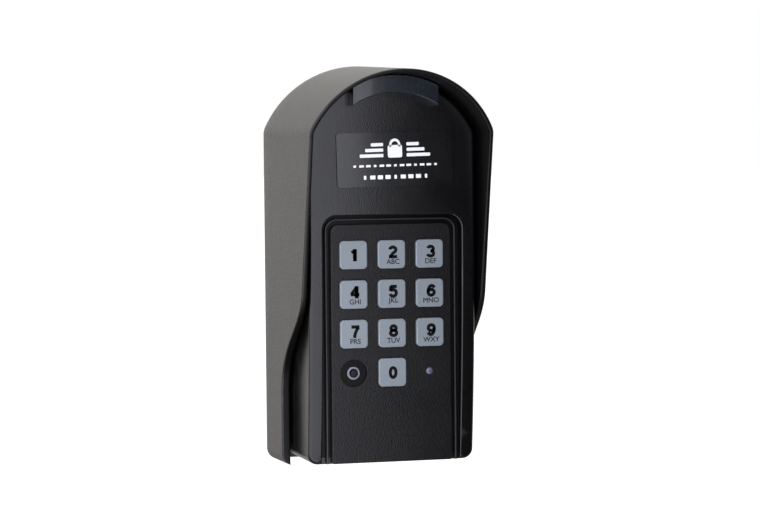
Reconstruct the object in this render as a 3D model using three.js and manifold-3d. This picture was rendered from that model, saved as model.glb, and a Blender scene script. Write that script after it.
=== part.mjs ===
// Keypad access reader for a gate or a door. An arched hood slides down over a weatherproof case, and the
// case holds a sprung keypad, a lamp under the hood's roof, a circuit board and three battery cells.
//
// Millimetres. +Z is up, +X is to the right of a person who faces the keypad, and -Y points out of the wall.
// The origin is the middle of the wall plate's back face, which lies on the wall at y = 0.

import * as THREE from 'three';
import { mergeVertices } from 'three/addons/utils/BufferGeometryUtils.js';
import Module from 'manifold-3d';

const wasm = await Module();
wasm.setup();

// ---- Driving dimensions ------------------------------------------------------------------------------

const GAP = 0.3;                 // left between pieces that meet
const FAR = 130;                 // reaches past the whole object in any direction
const ARCH_EDGES = 20;           // edges along the round top of an arch
const CORNER_EDGES = 4;          // edges round a corner
const ROUND_SIDES = 16;          // sides of a round post, hole or cell

const ARCH_Z = 45.36;            // height of the centre that every arch shares

const HOOD = {
  halfWidth: 48.83,              // outside, at the wall
  topRadius: 53.12,              // outside, at the wall
  draft: 0.0431,                 // the outside narrows by this much for each millimetre out of the wall
  bottom: -98.5,
  cornerRadius: 6,
  innerHalfWidth: 43.4,
  innerRadius: 47.4,
  frontAtOrigin: -68.66,         // the front edge leans out as it rises: y = frontAtOrigin - lean * z
  lean: 0.2136,
  sweepTop: -12,                 // the S-shaped sweep back to the lower edge starts at this height
  sweepBottom: -63,
  lowerEdge: -28.85,             // y of the front edge below the sweep
};

const CASE = {
  halfWidth: 41.6,
  topRadius: 45.8,
  bottom: -95,
  cornerRadius: 5,
  wall: 2.4,
  face: -63.35,                  // the flat front, from the top down to faceBend
  faceBend: 15,                  // below this height the front curves back
  faceRadius: 1000,
  seam: -20,                     // the front case ends here and the rear case begins
  back: -8.6,
};

const RECESS = { halfWidth: 34.7, top: 25.0, cornerRadius: 7, floor: -56.8, floorThickness: 2.2 };
const WINDOW = { halfWidth: 28.5, top: 19.2, bottom: -80 };
const PANEL = { halfWidth: 30.15, top: 20.77, bottom: -94.73, cornerRadius: 4, front: -59.8, back: -57.1 };
const SEAL = { halfWidth: 32.3, top: 23.05, thickness: 0.9, cornerRadius: 5.5, front: -59.35 };
const LABEL = { width: 58, height: 26.4, cornerRadius: 1.5, x: 1.3, z: 52, thickness: 0.5, tiltDegrees: 1.2 };

const KEY = {
  pitch: 19.05,
  size: 13.7,
  cornerRadius: 2,
  front: -61.35,
  flangeSize: 15.6,
  flangeThickness: 1.0,
  clearance: 0.2,                // round the key in the panel
};
const KEYPAD_Z = -13;            // height of key 5, which lies on the middle line
const LAST_ROW_Z = KEYPAD_Z - 2 * KEY.pitch;

const PROGRAM = {
  x: -KEY.pitch,
  pocketRadius: 6.55,
  pocketDepth: 1.5,
  collarRadius: 3.45,
  collarHeight: 0.8,
  radius: 1.8,
  front: -60.9,
  flangeRadius: 3,
  flangeThickness: 0.8,
};
const SWITCH = { halfWidth: 3, height: 1.8, plungerRadius: 1.6, plungerHeight: 2.3 };
const STATUS = { x: KEY.pitch, radius: 1.75, dome: 0.7, proud: 0.4 };

const BOARD = { halfWidth: 28, top: 19.5, bottom: -76, front: -52.2, thickness: 1.6 };
const BOARD_SCREWS = {
  x: 22,
  heights: [16.6, -68],
  radius: 1.0,
  bossRadius: 2.3,
  headRadius: 1.9,
  headHeight: 1.2,
};
const CHIP = { x: -4, z: -30, width: 12, height: 12, thickness: 1.6 };
const RADIO = { x: 9, z: 0, width: 14, height: 18, thickness: 2.2 };
const MAT = { front: -53.4, thickness: 0.9, domeRadius: 4.5, domeHeight: 0.8 };

const LAMP = { halfWidth: 21.3, lowerRadius: 38.6, upperRadius: 46.9, depth: 7.7, wall: 1.2 };
const LAMP_LED = { radius: 1.5, ringRadius: 41.6, spreadDegrees: 20, front: -67 };
const LAMP_BOARD = { halfWidth: 18, lowerRadius: 37.5, upperRadius: 43, thickness: 1.4 };

const PLATE = { halfWidth: 43, topRadius: 47, bottom: -97.6, cornerRadius: 3, thickness: 3 };
const RAIL = {
  front: -8,
  width: 3.5,
  tongueFront: -8,
  tongueBack: -5.5,
  tongueReach: 45,
  bottom: -90,
  top: 62,
};
const WALL_HOLES = { x: 26, heights: [66, -82], radius: 2.5 };
const HOOK = { x: 33, width: 6, heights: [40, -60], stem: 6, lip: 6, lipFront: -13.6, lipBack: -11.1 };
const LOCK = { y: -13, radius: 1.5, headRadius: 2.8, flangeHalfWidth: 9, flangeTop: -95.3, top: -86 };
const CASE_SCREWS = {
  x: 35.8,
  heights: [58, -86],
  radius: 1.5,
  bossRadius: 4,
  front: -33,
  headRadius: 3,
  headHeight: 2.2,
  headDepth: 3.4,                // the head's pocket, from the case's back
};

const CELL = { radius: 7.1, length: 49.2, nubRadius: 2.7, nubLength: 1.3, pitch: 15, y: -19.4, z: -36 };
const HOLDER = { halfWidth: 25.1, halfHeight: 31.5, wall: 1.5, front: -28.5, back: -11.1 };

// Wires run inside the case, through these points, from one end to the other.
const ANTENNA = {
  radius: 0.6,
  steps: 12,
  route: [[9, -47.6, 10], [9, -46.5, 16], [14, -46, 34], [12, -46, 58], [0, -46, 76]],
};
// The leads are given as (y, z), and each one keeps its own x.
const BATTERY_LEAD = {
  radius: 0.7,
  steps: 12,
  route: [[-24, -2.6], [-27, 2], [-36, 6], [-45, 3], [-50.3, 2]],
};
const LAMP_LEAD = {
  radius: 0.6,
  steps: 16,
  route: [[-58.9, 86], [-54, 80], [-48, 60], [-45, 30], [-47.3, 15], [-50.3, 14.5]],
};

// ---- Finishes ----------------------------------------------------------------------------------------

const FINISHES = {
  hoodPlastic: { color: 0x1c1c1d, roughness: 0.5, metalness: 0 },
  casePlastic: { color: 0x19191b, roughness: 0.55, metalness: 0 },
  panelPlastic: { color: 0x202024, roughness: 0.5, metalness: 0 },
  keyPlastic: { color: 0x9aa3ad, roughness: 0.45, metalness: 0 },
  innerPlastic: { color: 0x2b2b2d, roughness: 0.6, metalness: 0 },
  rubber: { color: 0x141414, roughness: 0.8, metalness: 0 },
  clearLens: { color: 0x39434d, roughness: 0.15, metalness: 0 },
  statusLens: { color: 0xa9b2c8, roughness: 0.25, metalness: 0 },
  label: { color: 0x0e0e10, roughness: 0.2, metalness: 0 },
  board: { color: 0x1d5a32, roughness: 0.5, metalness: 0 },
  chip: { color: 0x17181a, roughness: 0.5, metalness: 0 },
  steel: { color: 0xb4b6b8, roughness: 0.35, metalness: 1 },
  cell: { color: 0xa97c38, roughness: 0.3, metalness: 0.8 },
  wire: { color: 0x8c1f1a, roughness: 0.5, metalness: 0 },
};

// ---- Solids and booleans -----------------------------------------------------------------------------

function toSolid(geometry) {
  const bare = geometry.clone();
  bare.deleteAttribute('normal');
  bare.deleteAttribute('uv');
  const welded = mergeVertices(bare, 1e-4);
  return new wasm.Manifold(new wasm.Mesh({
    numProp: 3,
    vertProperties: new Float32Array(welded.attributes.position.array),
    triVerts: new Uint32Array(welded.index.array),
  }));
}

function toGeometry(solid) {
  const mesh = solid.getMesh();
  const geometry = new THREE.BufferGeometry();
  geometry.setAttribute('position', new THREE.BufferAttribute(new Float32Array(mesh.vertProperties), 3));
  geometry.setIndex(new THREE.BufferAttribute(new Uint32Array(mesh.triVerts), 1));
  geometry.computeVertexNormals();
  return geometry;
}

function join(...geometries) {
  return toGeometry(geometries.map(toSolid).reduce((whole, next) => whole.add(next)));
}

function cut(body, ...tools) {
  return toGeometry(tools.map(toSolid).reduce((whole, tool) => whole.subtract(tool), toSolid(body)));
}

function common(first, second) {
  return toGeometry(toSolid(first).intersect(toSolid(second)));
}

// ---- Shapes ------------------------------------------------------------------------------------------

const X = new THREE.Vector3(1, 0, 0);
const Y = new THREE.Vector3(0, 1, 0);
const Z = new THREE.Vector3(0, 0, 1);
const OUTLINE_XZ = new THREE.Matrix4().makeBasis(X, Z, Y.clone().negate());
const OUTLINE_YZ = new THREE.Matrix4().makeBasis(Y, Z, X);

function extrude(shape, depth) {
  return new THREE.ExtrudeGeometry(shape, { depth, bevelEnabled: false, curveSegments: 12 });
}

// A prism between two depths, from an outline drawn in x and z.
function prismY(shape, front, back) {
  return extrude(shape, back - front).applyMatrix4(OUTLINE_XZ).translate(0, back, 0);
}

// A prism as wide as the whole object, from an outline drawn in y and z.
function prismX(shape) {
  return extrude(shape, 2 * FAR).applyMatrix4(OUTLINE_YZ).translate(-FAR, 0, 0);
}

function block([x0, x1], [y0, y1], [z0, z1]) {
  const box = new THREE.BoxGeometry(x1 - x0, y1 - y0, z1 - z0);
  return box.translate((x0 + x1) / 2, (y0 + y1) / 2, (z0 + z1) / 2);
}

function rodY(radius, x, z, front, back, sides = ROUND_SIDES) {
  const rod = new THREE.CylinderGeometry(radius, radius, back - front, sides);
  return rod.translate(x, (front + back) / 2, z);
}

function rodZ(lowRadius, highRadius, x, y, low, high, sides = ROUND_SIDES) {
  const rod = new THREE.CylinderGeometry(highRadius, lowRadius, high - low, sides);
  return rod.rotateX(Math.PI / 2).translate(x, y, (low + high) / 2);
}

// A post along Y with a domed front, as a light-emitting diode has.
function domedPost(radius, x, z, front, back, domeDepth) {
  const profile = [];
  for (let step = 0; step <= 3; step += 1) {
    const angle = (step / 3) * (Math.PI / 2);
    profile.push(new THREE.Vector2(radius * Math.sin(angle), front + domeDepth * (1 - Math.cos(angle))));
  }
  profile.push(new THREE.Vector2(radius, back));
  profile.push(new THREE.Vector2(0, back));
  return new THREE.LatheGeometry(profile, 12).translate(x, 0, z);
}

// A round wire through a few points.
function wire(radius, points, steps) {
  const path = new THREE.CatmullRomCurve3(points.map((point) => new THREE.Vector3(...point)));
  const section = new THREE.Shape();
  section.absarc(0, 0, radius, 0, 2 * Math.PI);
  return new THREE.ExtrudeGeometry(section, { steps, extrudePath: path, curveSegments: 3 });
}

// The points of a round stretch, from one angle to another.
function arc(x, z, radius, start, end, edges = CORNER_EDGES) {
  const points = [];
  for (let step = 0; step <= edges; step += 1) {
    const angle = start + (end - start) * (step / edges);
    points.push(new THREE.Vector2(x + radius * Math.cos(angle), z + radius * Math.sin(angle)));
  }
  return points;
}

function roundedRectangle(x, z, width, height, radius) {
  const right = x + width / 2 - radius;
  const left = x - width / 2 + radius;
  const upper = z + height / 2 - radius;
  const lower = z - height / 2 + radius;
  return new THREE.Shape([
    ...arc(right, lower, radius, -Math.PI / 2, 0),
    ...arc(right, upper, radius, 0, Math.PI / 2),
    ...arc(left, upper, radius, Math.PI / 2, Math.PI),
    ...arc(left, lower, radius, Math.PI, 1.5 * Math.PI),
  ]);
}

// A door shape with a square bottom and two rounded top corners.
function tabletOutline(halfWidth, bottom, top, radius) {
  return new THREE.Shape([
    new THREE.Vector2(-halfWidth, bottom),
    new THREE.Vector2(halfWidth, bottom),
    ...arc(halfWidth - radius, top - radius, radius, 0, Math.PI / 2),
    ...arc(-halfWidth + radius, top - radius, radius, Math.PI / 2, Math.PI),
  ]);
}

// Straight sides under a round top, with rounded bottom corners.
function archPoints(halfWidth, topRadius, bottom, cornerRadius) {
  const shoulder = Math.acos(halfWidth / topRadius);
  const cornerX = halfWidth - cornerRadius;
  const cornerZ = bottom + cornerRadius;
  return [
    ...arc(cornerX, cornerZ, cornerRadius, -Math.PI / 2, 0),
    ...arc(0, ARCH_Z, topRadius, shoulder, Math.PI - shoulder, ARCH_EDGES),
    ...arc(-cornerX, cornerZ, cornerRadius, Math.PI, 1.5 * Math.PI),
  ];
}

function archOutline(halfWidth, topRadius, bottom, cornerRadius) {
  return new THREE.Shape(archPoints(halfWidth, topRadius, bottom, cornerRadius));
}

// The case's outline, drawn in from its outside by an inset.
function caseOutline(inset = 0) {
  const { halfWidth, topRadius, bottom, cornerRadius } = CASE;
  return archOutline(halfWidth - inset, topRadius - inset, bottom + inset, cornerRadius - inset);
}

// Everything behind the case's front: flat above faceBend, and a slow arc below it.
function behindCaseFace(inset) {
  const front = CASE.face + inset;
  const sweep = Math.asin(FAR / CASE.faceRadius);
  return new THREE.Shape([
    new THREE.Vector2(FAR, FAR),
    new THREE.Vector2(front, FAR),
    ...arc(front + CASE.faceRadius, CASE.faceBend, CASE.faceRadius, Math.PI, Math.PI + sweep, 8),
    new THREE.Vector2(FAR, CASE.faceBend - FAR),
  ]);
}

// A solid between two arch outlines of different size, as a moulding with draft has.
function draftedArch(front, back) {
  const outlineAt = (y) => archPoints(
    HOOD.halfWidth + HOOD.draft * y, HOOD.topRadius + HOOD.draft * y, HOOD.bottom, HOOD.cornerRadius,
  );
  const near = outlineAt(front);
  const far = outlineAt(back);
  const count = near.length;
  const positions = [
    ...near.flatMap((point) => [point.x, front, point.y]),
    ...far.flatMap((point) => [point.x, back, point.y]),
  ];
  const triangles = [];
  for (const [a, b, c] of THREE.ShapeUtils.triangulateShape(near, [])) {
    triangles.push(a, b, c);
    triangles.push(count + a, count + c, count + b);
  }
  for (let i = 0; i < count; i += 1) {
    const next = (i + 1) % count;
    triangles.push(i, count + next, next);
    triangles.push(i, count + i, count + next);
  }
  const geometry = new THREE.BufferGeometry();
  geometry.setAttribute('position', new THREE.Float32BufferAttribute(positions, 3));
  geometry.setIndex(triangles);
  return geometry;
}

// Makes one copy at each side and each height: four posts, holes, hooks or screws.
function atCorners({ x, heights }, make) {
  return heights.flatMap((z) => [make(-x, z), make(x, z)]);
}

// ---- Hood --------------------------------------------------------------------------------------------

// Everything in front of the hood's edge: a leaning straight edge, an S-shaped sweep, and a lower edge.
function aheadOfHoodEdge() {
  const edgeAt = (z) => HOOD.frontAtOrigin - HOOD.lean * z;
  const { sweepTop, sweepBottom, lowerEdge } = HOOD;
  const height = sweepTop - sweepBottom;
  const shape = new THREE.Shape();
  shape.moveTo(-FAR, FAR);
  shape.lineTo(edgeAt(FAR), FAR);
  shape.lineTo(edgeAt(sweepTop), sweepTop);
  const upperPull = sweepTop - 0.35 * height;
  shape.bezierCurveTo(
    edgeAt(upperPull), upperPull, lowerEdge, sweepBottom + 0.51 * height, lowerEdge, sweepBottom,
  );
  shape.lineTo(lowerEdge, -FAR);
  shape.lineTo(-FAR, -FAR);
  shape.closePath();
  return shape;
}

function hood() {
  const inside = archOutline(HOOD.innerHalfWidth, HOOD.innerRadius, -FAR, 1);
  const grooves = [-1, 1].map((side) => {
    const edges = [side * (HOOD.innerHalfWidth - 1), side * (RAIL.tongueReach + 0.4)];
    edges.sort((a, b) => a - b);
    return block(edges, [RAIL.tongueFront - GAP, RAIL.tongueBack + GAP], [-FAR, RAIL.top + 0.6]);
  });
  return cut(draftedArch(-95, -GAP), prismY(inside, -FAR, FAR), prismX(aheadOfHoodEdge()), ...grooves);
}

// ---- Wall plate --------------------------------------------------------------------------------------

function wallPlate() {
  const outline = archOutline(PLATE.halfWidth, PLATE.topRadius, PLATE.bottom, PLATE.cornerRadius);
  const sheet = prismY(outline, -PLATE.thickness, 0);
  const inPlate = -PLATE.thickness / 2;
  const rails = [-1, 1].flatMap((side) => {
    const between = (a, b) => [side * a, side * b].sort((low, high) => low - high);
    const height = [RAIL.bottom, RAIL.top];
    return [
      block(between(PLATE.halfWidth - RAIL.width, PLATE.halfWidth), [RAIL.front, inPlate], height),
      block(between(PLATE.halfWidth - 1, RAIL.tongueReach), [RAIL.tongueFront, RAIL.tongueBack], height),
    ];
  });
  const hooks = atCorners(HOOK, (x, z) => {
    const across = [x - HOOK.width / 2, x + HOOK.width / 2];
    const stem = [z - HOOK.stem / 2, z + HOOK.stem / 2];
    return join(
      block(across, [HOOK.lipFront, inPlate], stem),
      block(across, [HOOK.lipFront, HOOK.lipBack], [stem[0], stem[1] + HOOK.lip]),
    );
  });
  const { flangeHalfWidth, flangeTop } = LOCK;
  const flange = block([-flangeHalfWidth, flangeHalfWidth], [LOCK.y - 4, inPlate], [PLATE.bottom, flangeTop]);
  const wallHoles = atCorners(WALL_HOLES, (x, z) => rodY(WALL_HOLES.radius, x, z, -FAR, FAR));
  const screwHole = rodZ(
    LOCK.headRadius + GAP, LOCK.radius + GAP, 0, LOCK.y, PLATE.bottom - 0.2, flangeTop + 0.2,
  );
  return cut(join(sheet, ...rails, ...hooks, flange), ...wallHoles, screwHole);
}

// A countersunk screw up through the plate's flange into the bottom of the case.
function caseLockScrew() {
  const headTop = LOCK.flangeTop - 0.5;
  return join(
    rodZ(LOCK.headRadius, LOCK.radius, 0, LOCK.y, PLATE.bottom + 0.1, headTop),
    rodZ(LOCK.radius, LOCK.radius, 0, LOCK.y, headTop - 0.5, LOCK.top),
  );
}

// ---- Case --------------------------------------------------------------------------------------------

function lampLedPlaces() {
  return [-1, 0, 1].map((step) => {
    const angle = THREE.MathUtils.degToRad(90 + step * LAMP_LED.spreadDegrees);
    return [LAMP_LED.ringRadius * Math.cos(angle), ARCH_Z + LAMP_LED.ringRadius * Math.sin(angle)];
  });
}

// The case's outline as a solid behind its curved front, both drawn in by an inset.
function caseBlank(inset, back) {
  return common(prismY(caseOutline(inset), -FAR, back), prismX(behindCaseFace(inset)));
}

function frontCase() {
  const outside = caseBlank(0, CASE.seam);
  const cavity = caseBlank(CASE.wall, CASE.seam + 1);
  const { halfWidth, top, cornerRadius, floor, floorThickness } = RECESS;
  const tubWall = 2.2;
  const tubOutline = tabletOutline(halfWidth + tubWall, -FAR, top + tubWall, cornerRadius + tubWall);
  const tub = common(outside, prismY(tubOutline, -FAR, floor + floorThickness));
  const bosses = atCorners(CASE_SCREWS, (x, z) => (
    rodY(CASE_SCREWS.bossRadius, x, z, CASE_SCREWS.front - 3, CASE.seam)
  ));
  const recess = prismY(tabletOutline(halfWidth, -FAR, top, cornerRadius), -FAR, floor);
  const window = block([-WINDOW.halfWidth, WINDOW.halfWidth], [floor - 1, -50], [WINDOW.bottom, WINDOW.top]);
  const screwHoles = atCorners(CASE_SCREWS, (x, z) => (
    rodY(CASE_SCREWS.radius + GAP, x, z, CASE_SCREWS.front - 1, CASE.seam + 1)
  ));
  const ledHoles = lampLedPlaces().map(([x, z]) => rodY(LAMP_LED.radius + GAP, x, z, -FAR, -50, 16));
  const filled = join(cut(outside, cavity), tub, ...bosses);
  return cut(filled, recess, window, ...screwHoles, ...ledHoles);
}

function rearCase() {
  const rim = CASE.seam + GAP;
  const floorFront = CASE.back - 2.2;
  const outside = prismY(caseOutline(), rim, CASE.back);
  const cavity = prismY(caseOutline(CASE.wall), rim - 1, floorFront);
  const bosses = atCorners(CASE_SCREWS, (x, z) => rodY(CASE_SCREWS.bossRadius, x, z, rim, CASE.back));
  const lockBoss = block([-5, 5], [LOCK.y - 5, CASE.back - 0.5], [CASE.bottom + 1, LOCK.top + 2]);
  const windowHeight = [CELL.z - HOLDER.halfHeight, CELL.z + HOLDER.halfHeight];
  const batteryWindow = block([-HOLDER.halfWidth, HOLDER.halfWidth], [floorFront - 1, 0], windowHeight);
  const hookSlots = atCorners(HOOK, (x, z) => {
    const slotTop = z + HOOK.stem / 2 + GAP;
    const slotHeight = HOOK.stem + HOOK.lip + 2 * GAP;
    const across = [x - HOOK.width / 2 - GAP, x + HOOK.width / 2 + GAP];
    return block(across, [floorFront - 1, 0], [slotTop - slotHeight, slotTop]);
  });
  const screwHoles = atCorners(CASE_SCREWS, (x, z) => join(
    rodY(CASE_SCREWS.radius + GAP, x, z, rim - 1, 0),
    rodY(CASE_SCREWS.headRadius + GAP, x, z, CASE.back - CASE_SCREWS.headDepth, 0),
  ));
  const lockHole = rodZ(LOCK.radius + GAP, LOCK.radius + GAP, 0, LOCK.y, -FAR, LOCK.top + 0.5);
  const sealGroove = ring(caseOutline(0.6), caseOutline(1.8), rim - 1, rim + 1.5);
  const filled = join(cut(outside, cavity), ...bosses, lockBoss);
  return cut(filled, sealGroove, batteryWindow, ...hookSlots, ...screwHoles, lockHole);
}

function ring(outer, inner, front, back) {
  outer.holes.push(inner);
  return prismY(outer, front, back);
}

function caseSeal() {
  const rim = CASE.seam + GAP;
  return ring(caseOutline(0.9), caseOutline(1.5), rim, rim + 1.2);
}

function caseScrew(x, z) {
  const headFront = CASE.back - CASE_SCREWS.headDepth + GAP;
  return join(
    rodY(CASE_SCREWS.headRadius, x, z, headFront, headFront + CASE_SCREWS.headHeight),
    rodY(CASE_SCREWS.radius, x, z, CASE_SCREWS.front, headFront + 1, 16),
  );
}

function labelPlate() {
  const outline = roundedRectangle(0, 0, LABEL.width, LABEL.height, LABEL.cornerRadius);
  const back = CASE.face - GAP;
  const plate = prismY(outline, back - LABEL.thickness, back);
  plate.rotateY(-THREE.MathUtils.degToRad(LABEL.tiltDegrees));
  return plate.translate(LABEL.x, 0, LABEL.z);
}

// ---- Keypad ------------------------------------------------------------------------------------------

// The digits in reading order, with the place of each key's centre.
function keyPlaces() {
  const places = [];
  for (let digit = 1; digit <= 9; digit += 1) {
    const column = (digit - 1) % 3;
    const row = Math.floor((digit - 1) / 3);
    places.push({ digit, x: (column - 1) * KEY.pitch, z: KEYPAD_Z + (1 - row) * KEY.pitch });
  }
  places.push({ digit: 0, x: 0, z: LAST_ROW_Z });
  return places;
}

function keypadPanel() {
  const { halfWidth, top, bottom, cornerRadius, front, back } = PANEL;
  const sheet = prismY(tabletOutline(halfWidth, bottom, top, cornerRadius), front, back);
  const bosses = atCorners(BOARD_SCREWS, (x, z) => (
    rodY(BOARD_SCREWS.bossRadius, x, z, back - 0.5, BOARD.front - GAP, 16)
  ));
  const opening = KEY.size + 2 * KEY.clearance;
  const keyHoles = keyPlaces().map(({ x, z }) => (
    prismY(roundedRectangle(x, z, opening, opening, KEY.cornerRadius + KEY.clearance), front - 1, back + 1)
  ));
  const pocketFloor = front + PROGRAM.pocketDepth;
  const pocket = rodY(PROGRAM.pocketRadius, PROGRAM.x, LAST_ROW_Z, front - 1, pocketFloor, 24);
  const plungerHole = rodY(PROGRAM.radius + GAP, PROGRAM.x, LAST_ROW_Z, front - 1, back + 1);
  const statusHole = rodY(STATUS.radius + GAP, STATUS.x, LAST_ROW_Z, front - 1, back + 1);
  const screwHoles = atCorners(BOARD_SCREWS, (x, z) => (
    rodY(BOARD_SCREWS.radius + GAP, x, z, back - 0.2, BOARD.front, 12)
  ));
  return cut(join(sheet, ...bosses), ...keyHoles, pocket, plungerHole, statusHole, ...screwHoles);
}

// A thin rubber lip that stands in the groove round the panel, on its two sides and its top.
function panelSeal() {
  const { halfWidth, top, thickness, cornerRadius, front } = SEAL;
  const outer = tabletOutline(halfWidth + thickness / 2, PANEL.bottom, top + thickness / 2, cornerRadius);
  const inner = tabletOutline(
    halfWidth - thickness / 2, PANEL.bottom - 1, top - thickness / 2, cornerRadius - thickness,
  );
  return cut(prismY(outer, front, RECESS.floor - GAP), prismY(inner, front - 1, 0));
}

function keyCap(x, z) {
  const flangeFront = PANEL.back + GAP;
  const cap = roundedRectangle(x, z, KEY.size, KEY.size, KEY.cornerRadius);
  const flange = roundedRectangle(x, z, KEY.flangeSize, KEY.flangeSize, KEY.cornerRadius);
  return join(
    prismY(cap, KEY.front, flangeFront + 0.5),
    prismY(flange, flangeFront, flangeFront + KEY.flangeThickness),
  );
}

function keyMat() {
  const back = MAT.front + MAT.thickness;
  const wide = KEY.pitch + KEY.flangeSize / 2;
  const middleRows = block([-wide, wide], [MAT.front, back], [KEYPAD_Z - wide, KEYPAD_Z + wide]);
  const lastKey = block([-9, 9], [MAT.front, back], [LAST_ROW_Z - 9, KEYPAD_Z - wide + 1]);
  const domes = keyPlaces().map(({ x, z }) => (
    rodY(MAT.domeRadius, x, z, MAT.front - MAT.domeHeight, MAT.front + 0.4, 16)
  ));
  return join(middleRows, lastKey, ...domes);
}

function programButton() {
  const flangeFront = PANEL.back + GAP;
  return join(
    rodY(PROGRAM.radius, PROGRAM.x, LAST_ROW_Z, PROGRAM.front, flangeFront + 0.4),
    rodY(PROGRAM.flangeRadius, PROGRAM.x, LAST_ROW_Z, flangeFront, flangeFront + PROGRAM.flangeThickness),
  );
}

function buttonCollar() {
  const back = PANEL.front + PROGRAM.pocketDepth - GAP;
  const disc = rodY(PROGRAM.collarRadius, PROGRAM.x, LAST_ROW_Z, back - PROGRAM.collarHeight, back, 24);
  return cut(disc, rodY(PROGRAM.radius + GAP, PROGRAM.x, LAST_ROW_Z, -FAR, 0));
}

function programSwitch() {
  const back = BOARD.front - GAP;
  const { halfWidth, height, plungerRadius, plungerHeight } = SWITCH;
  const across = [PROGRAM.x - halfWidth, PROGRAM.x + halfWidth];
  return join(
    block(across, [back - height, back], [LAST_ROW_Z - halfWidth, LAST_ROW_Z + halfWidth]),
    rodY(plungerRadius, PROGRAM.x, LAST_ROW_Z, back - plungerHeight, back - 1, 12),
  );
}

// ---- Electronics -------------------------------------------------------------------------------------

const BOARD_BACK = BOARD.front + BOARD.thickness;

function circuitBoard() {
  const { halfWidth, front, bottom, top } = BOARD;
  const sheet = block([-halfWidth, halfWidth], [front, BOARD_BACK], [bottom, top]);
  const holes = atCorners(BOARD_SCREWS, (x, z) => rodY(BOARD_SCREWS.radius + GAP, x, z, -FAR, 0, 12));
  return cut(sheet, ...holes);
}

function boardScrew(x, z) {
  const headFront = BOARD_BACK + GAP;
  return join(
    rodY(BOARD_SCREWS.headRadius, x, z, headFront, headFront + BOARD_SCREWS.headHeight, 16),
    rodY(BOARD_SCREWS.radius, x, z, PANEL.back + 1, headFront + 0.5, 12),
  );
}

// A flat component on the back of the board.
function onBoard({ x, z, width, height, thickness }) {
  const front = BOARD_BACK + GAP;
  return block([x - width / 2, x + width / 2], [front, front + thickness], [z - height / 2, z + height / 2]);
}

// A lead that stays at one x.
function lead({ radius, steps, route }, x) {
  return wire(radius, route.map(([y, z]) => [x, y, z]), steps);
}

// ---- Lamp --------------------------------------------------------------------------------------------

// A slice of the arch between two radii, cut off square at its two ends.
function archSlice(halfWidth, lowerRadius, upperRadius) {
  const low = Math.acos(halfWidth / lowerRadius);
  const high = Math.acos(halfWidth / upperRadius);
  return new THREE.Shape([
    ...arc(0, ARCH_Z, lowerRadius, low, Math.PI - low, ARCH_EDGES / 2),
    ...arc(0, ARCH_Z, upperRadius, Math.PI - high, high, ARCH_EDGES / 2),
  ]);
}

function lampLens() {
  const { halfWidth, lowerRadius, upperRadius, depth, wall } = LAMP;
  const back = CASE.face - GAP;
  const pocket = archSlice(halfWidth - wall, lowerRadius + wall, upperRadius - wall);
  return cut(
    prismY(archSlice(halfWidth, lowerRadius, upperRadius), back - depth, back),
    prismY(pocket, back - depth + wall, back + 1),
  );
}

function lampBoard() {
  const front = CASE.face + CASE.wall + GAP;
  const { halfWidth, lowerRadius, upperRadius, thickness } = LAMP_BOARD;
  return prismY(archSlice(halfWidth, lowerRadius, upperRadius), front, front + thickness);
}

function lampLed(x, z) {
  return domedPost(LAMP_LED.radius, x, z, LAMP_LED.front, CASE.face + CASE.wall, LAMP_LED.radius);
}

function statusLed() {
  const { x, radius, dome, proud } = STATUS;
  return domedPost(radius, x, LAST_ROW_Z, PANEL.front - proud, BOARD.front - GAP, dome);
}

// ---- Battery -----------------------------------------------------------------------------------------

const CELL_COLUMNS = [-CELL.pitch, 0, CELL.pitch];

// The outer cells stand with the nub up, and the middle one is turned over.
function nubUp(x) {
  return x !== 0;
}

function batteryCell(x) {
  const half = (CELL.length + CELL.nubLength) / 2;
  const side = nubUp(x) ? 1 : -1;
  const between = (a, b) => [CELL.z + side * a, CELL.z + side * b].sort((low, high) => low - high);
  return join(
    rodZ(CELL.radius, CELL.radius, x, CELL.y, ...between(-half, half - CELL.nubLength), 24),
    rodZ(CELL.nubRadius, CELL.nubRadius, x, CELL.y, ...between(0, half), 12),
  );
}

function batteryHolder() {
  const { halfWidth, halfHeight, wall, front, back } = HOLDER;
  const outside = block(
    [-halfWidth - wall, halfWidth + wall], [front, back],
    [CELL.z - halfHeight - wall, CELL.z + halfHeight + wall],
  );
  const height = [CELL.z - halfHeight, CELL.z + halfHeight];
  const inside = block([-halfWidth, halfWidth], [front + wall, 0], height);
  const ribs = [-0.5, 0.5].map((place) => {
    const x = place * CELL.pitch;
    return block([x - 0.6, x + 0.6], [front + 0.5, front + 5], [CELL.z - 20, CELL.z + 20]);
  });
  return join(cut(outside, inside), ...ribs);
}

// A contact plate across one cell or two, at the top (side 1) or the bottom (side -1) of the holder. A
// tapered spring stands on it at a cell's flat end, and a stud at its nub.
function batteryContact(columns, side) {
  const between = (a, b) => [CELL.z + side * a, CELL.z + side * b].sort((low, high) => low - high);
  const endOfCell = (CELL.length + CELL.nubLength) / 2 + GAP;
  const plateFace = HOLDER.halfHeight - GAP;
  const across = [Math.min(...columns) - 5, Math.max(...columns) + 5];
  const plate = block(across, [CELL.y - 4.5, CELL.y + 4.5], between(plateFace - 0.5, plateFace));
  const posts = columns.map((x) => {
    const atNub = (side > 0) === nubUp(x);
    const tip = atNub ? 2 : 2.5;
    const root = atNub ? 2 : 4.5;
    const radii = side > 0 ? [tip, root] : [root, tip];
    return rodZ(...radii, x, CELL.y, ...between(endOfCell, plateFace - 0.2), 12);
  });
  return join(plate, ...posts);
}

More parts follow.
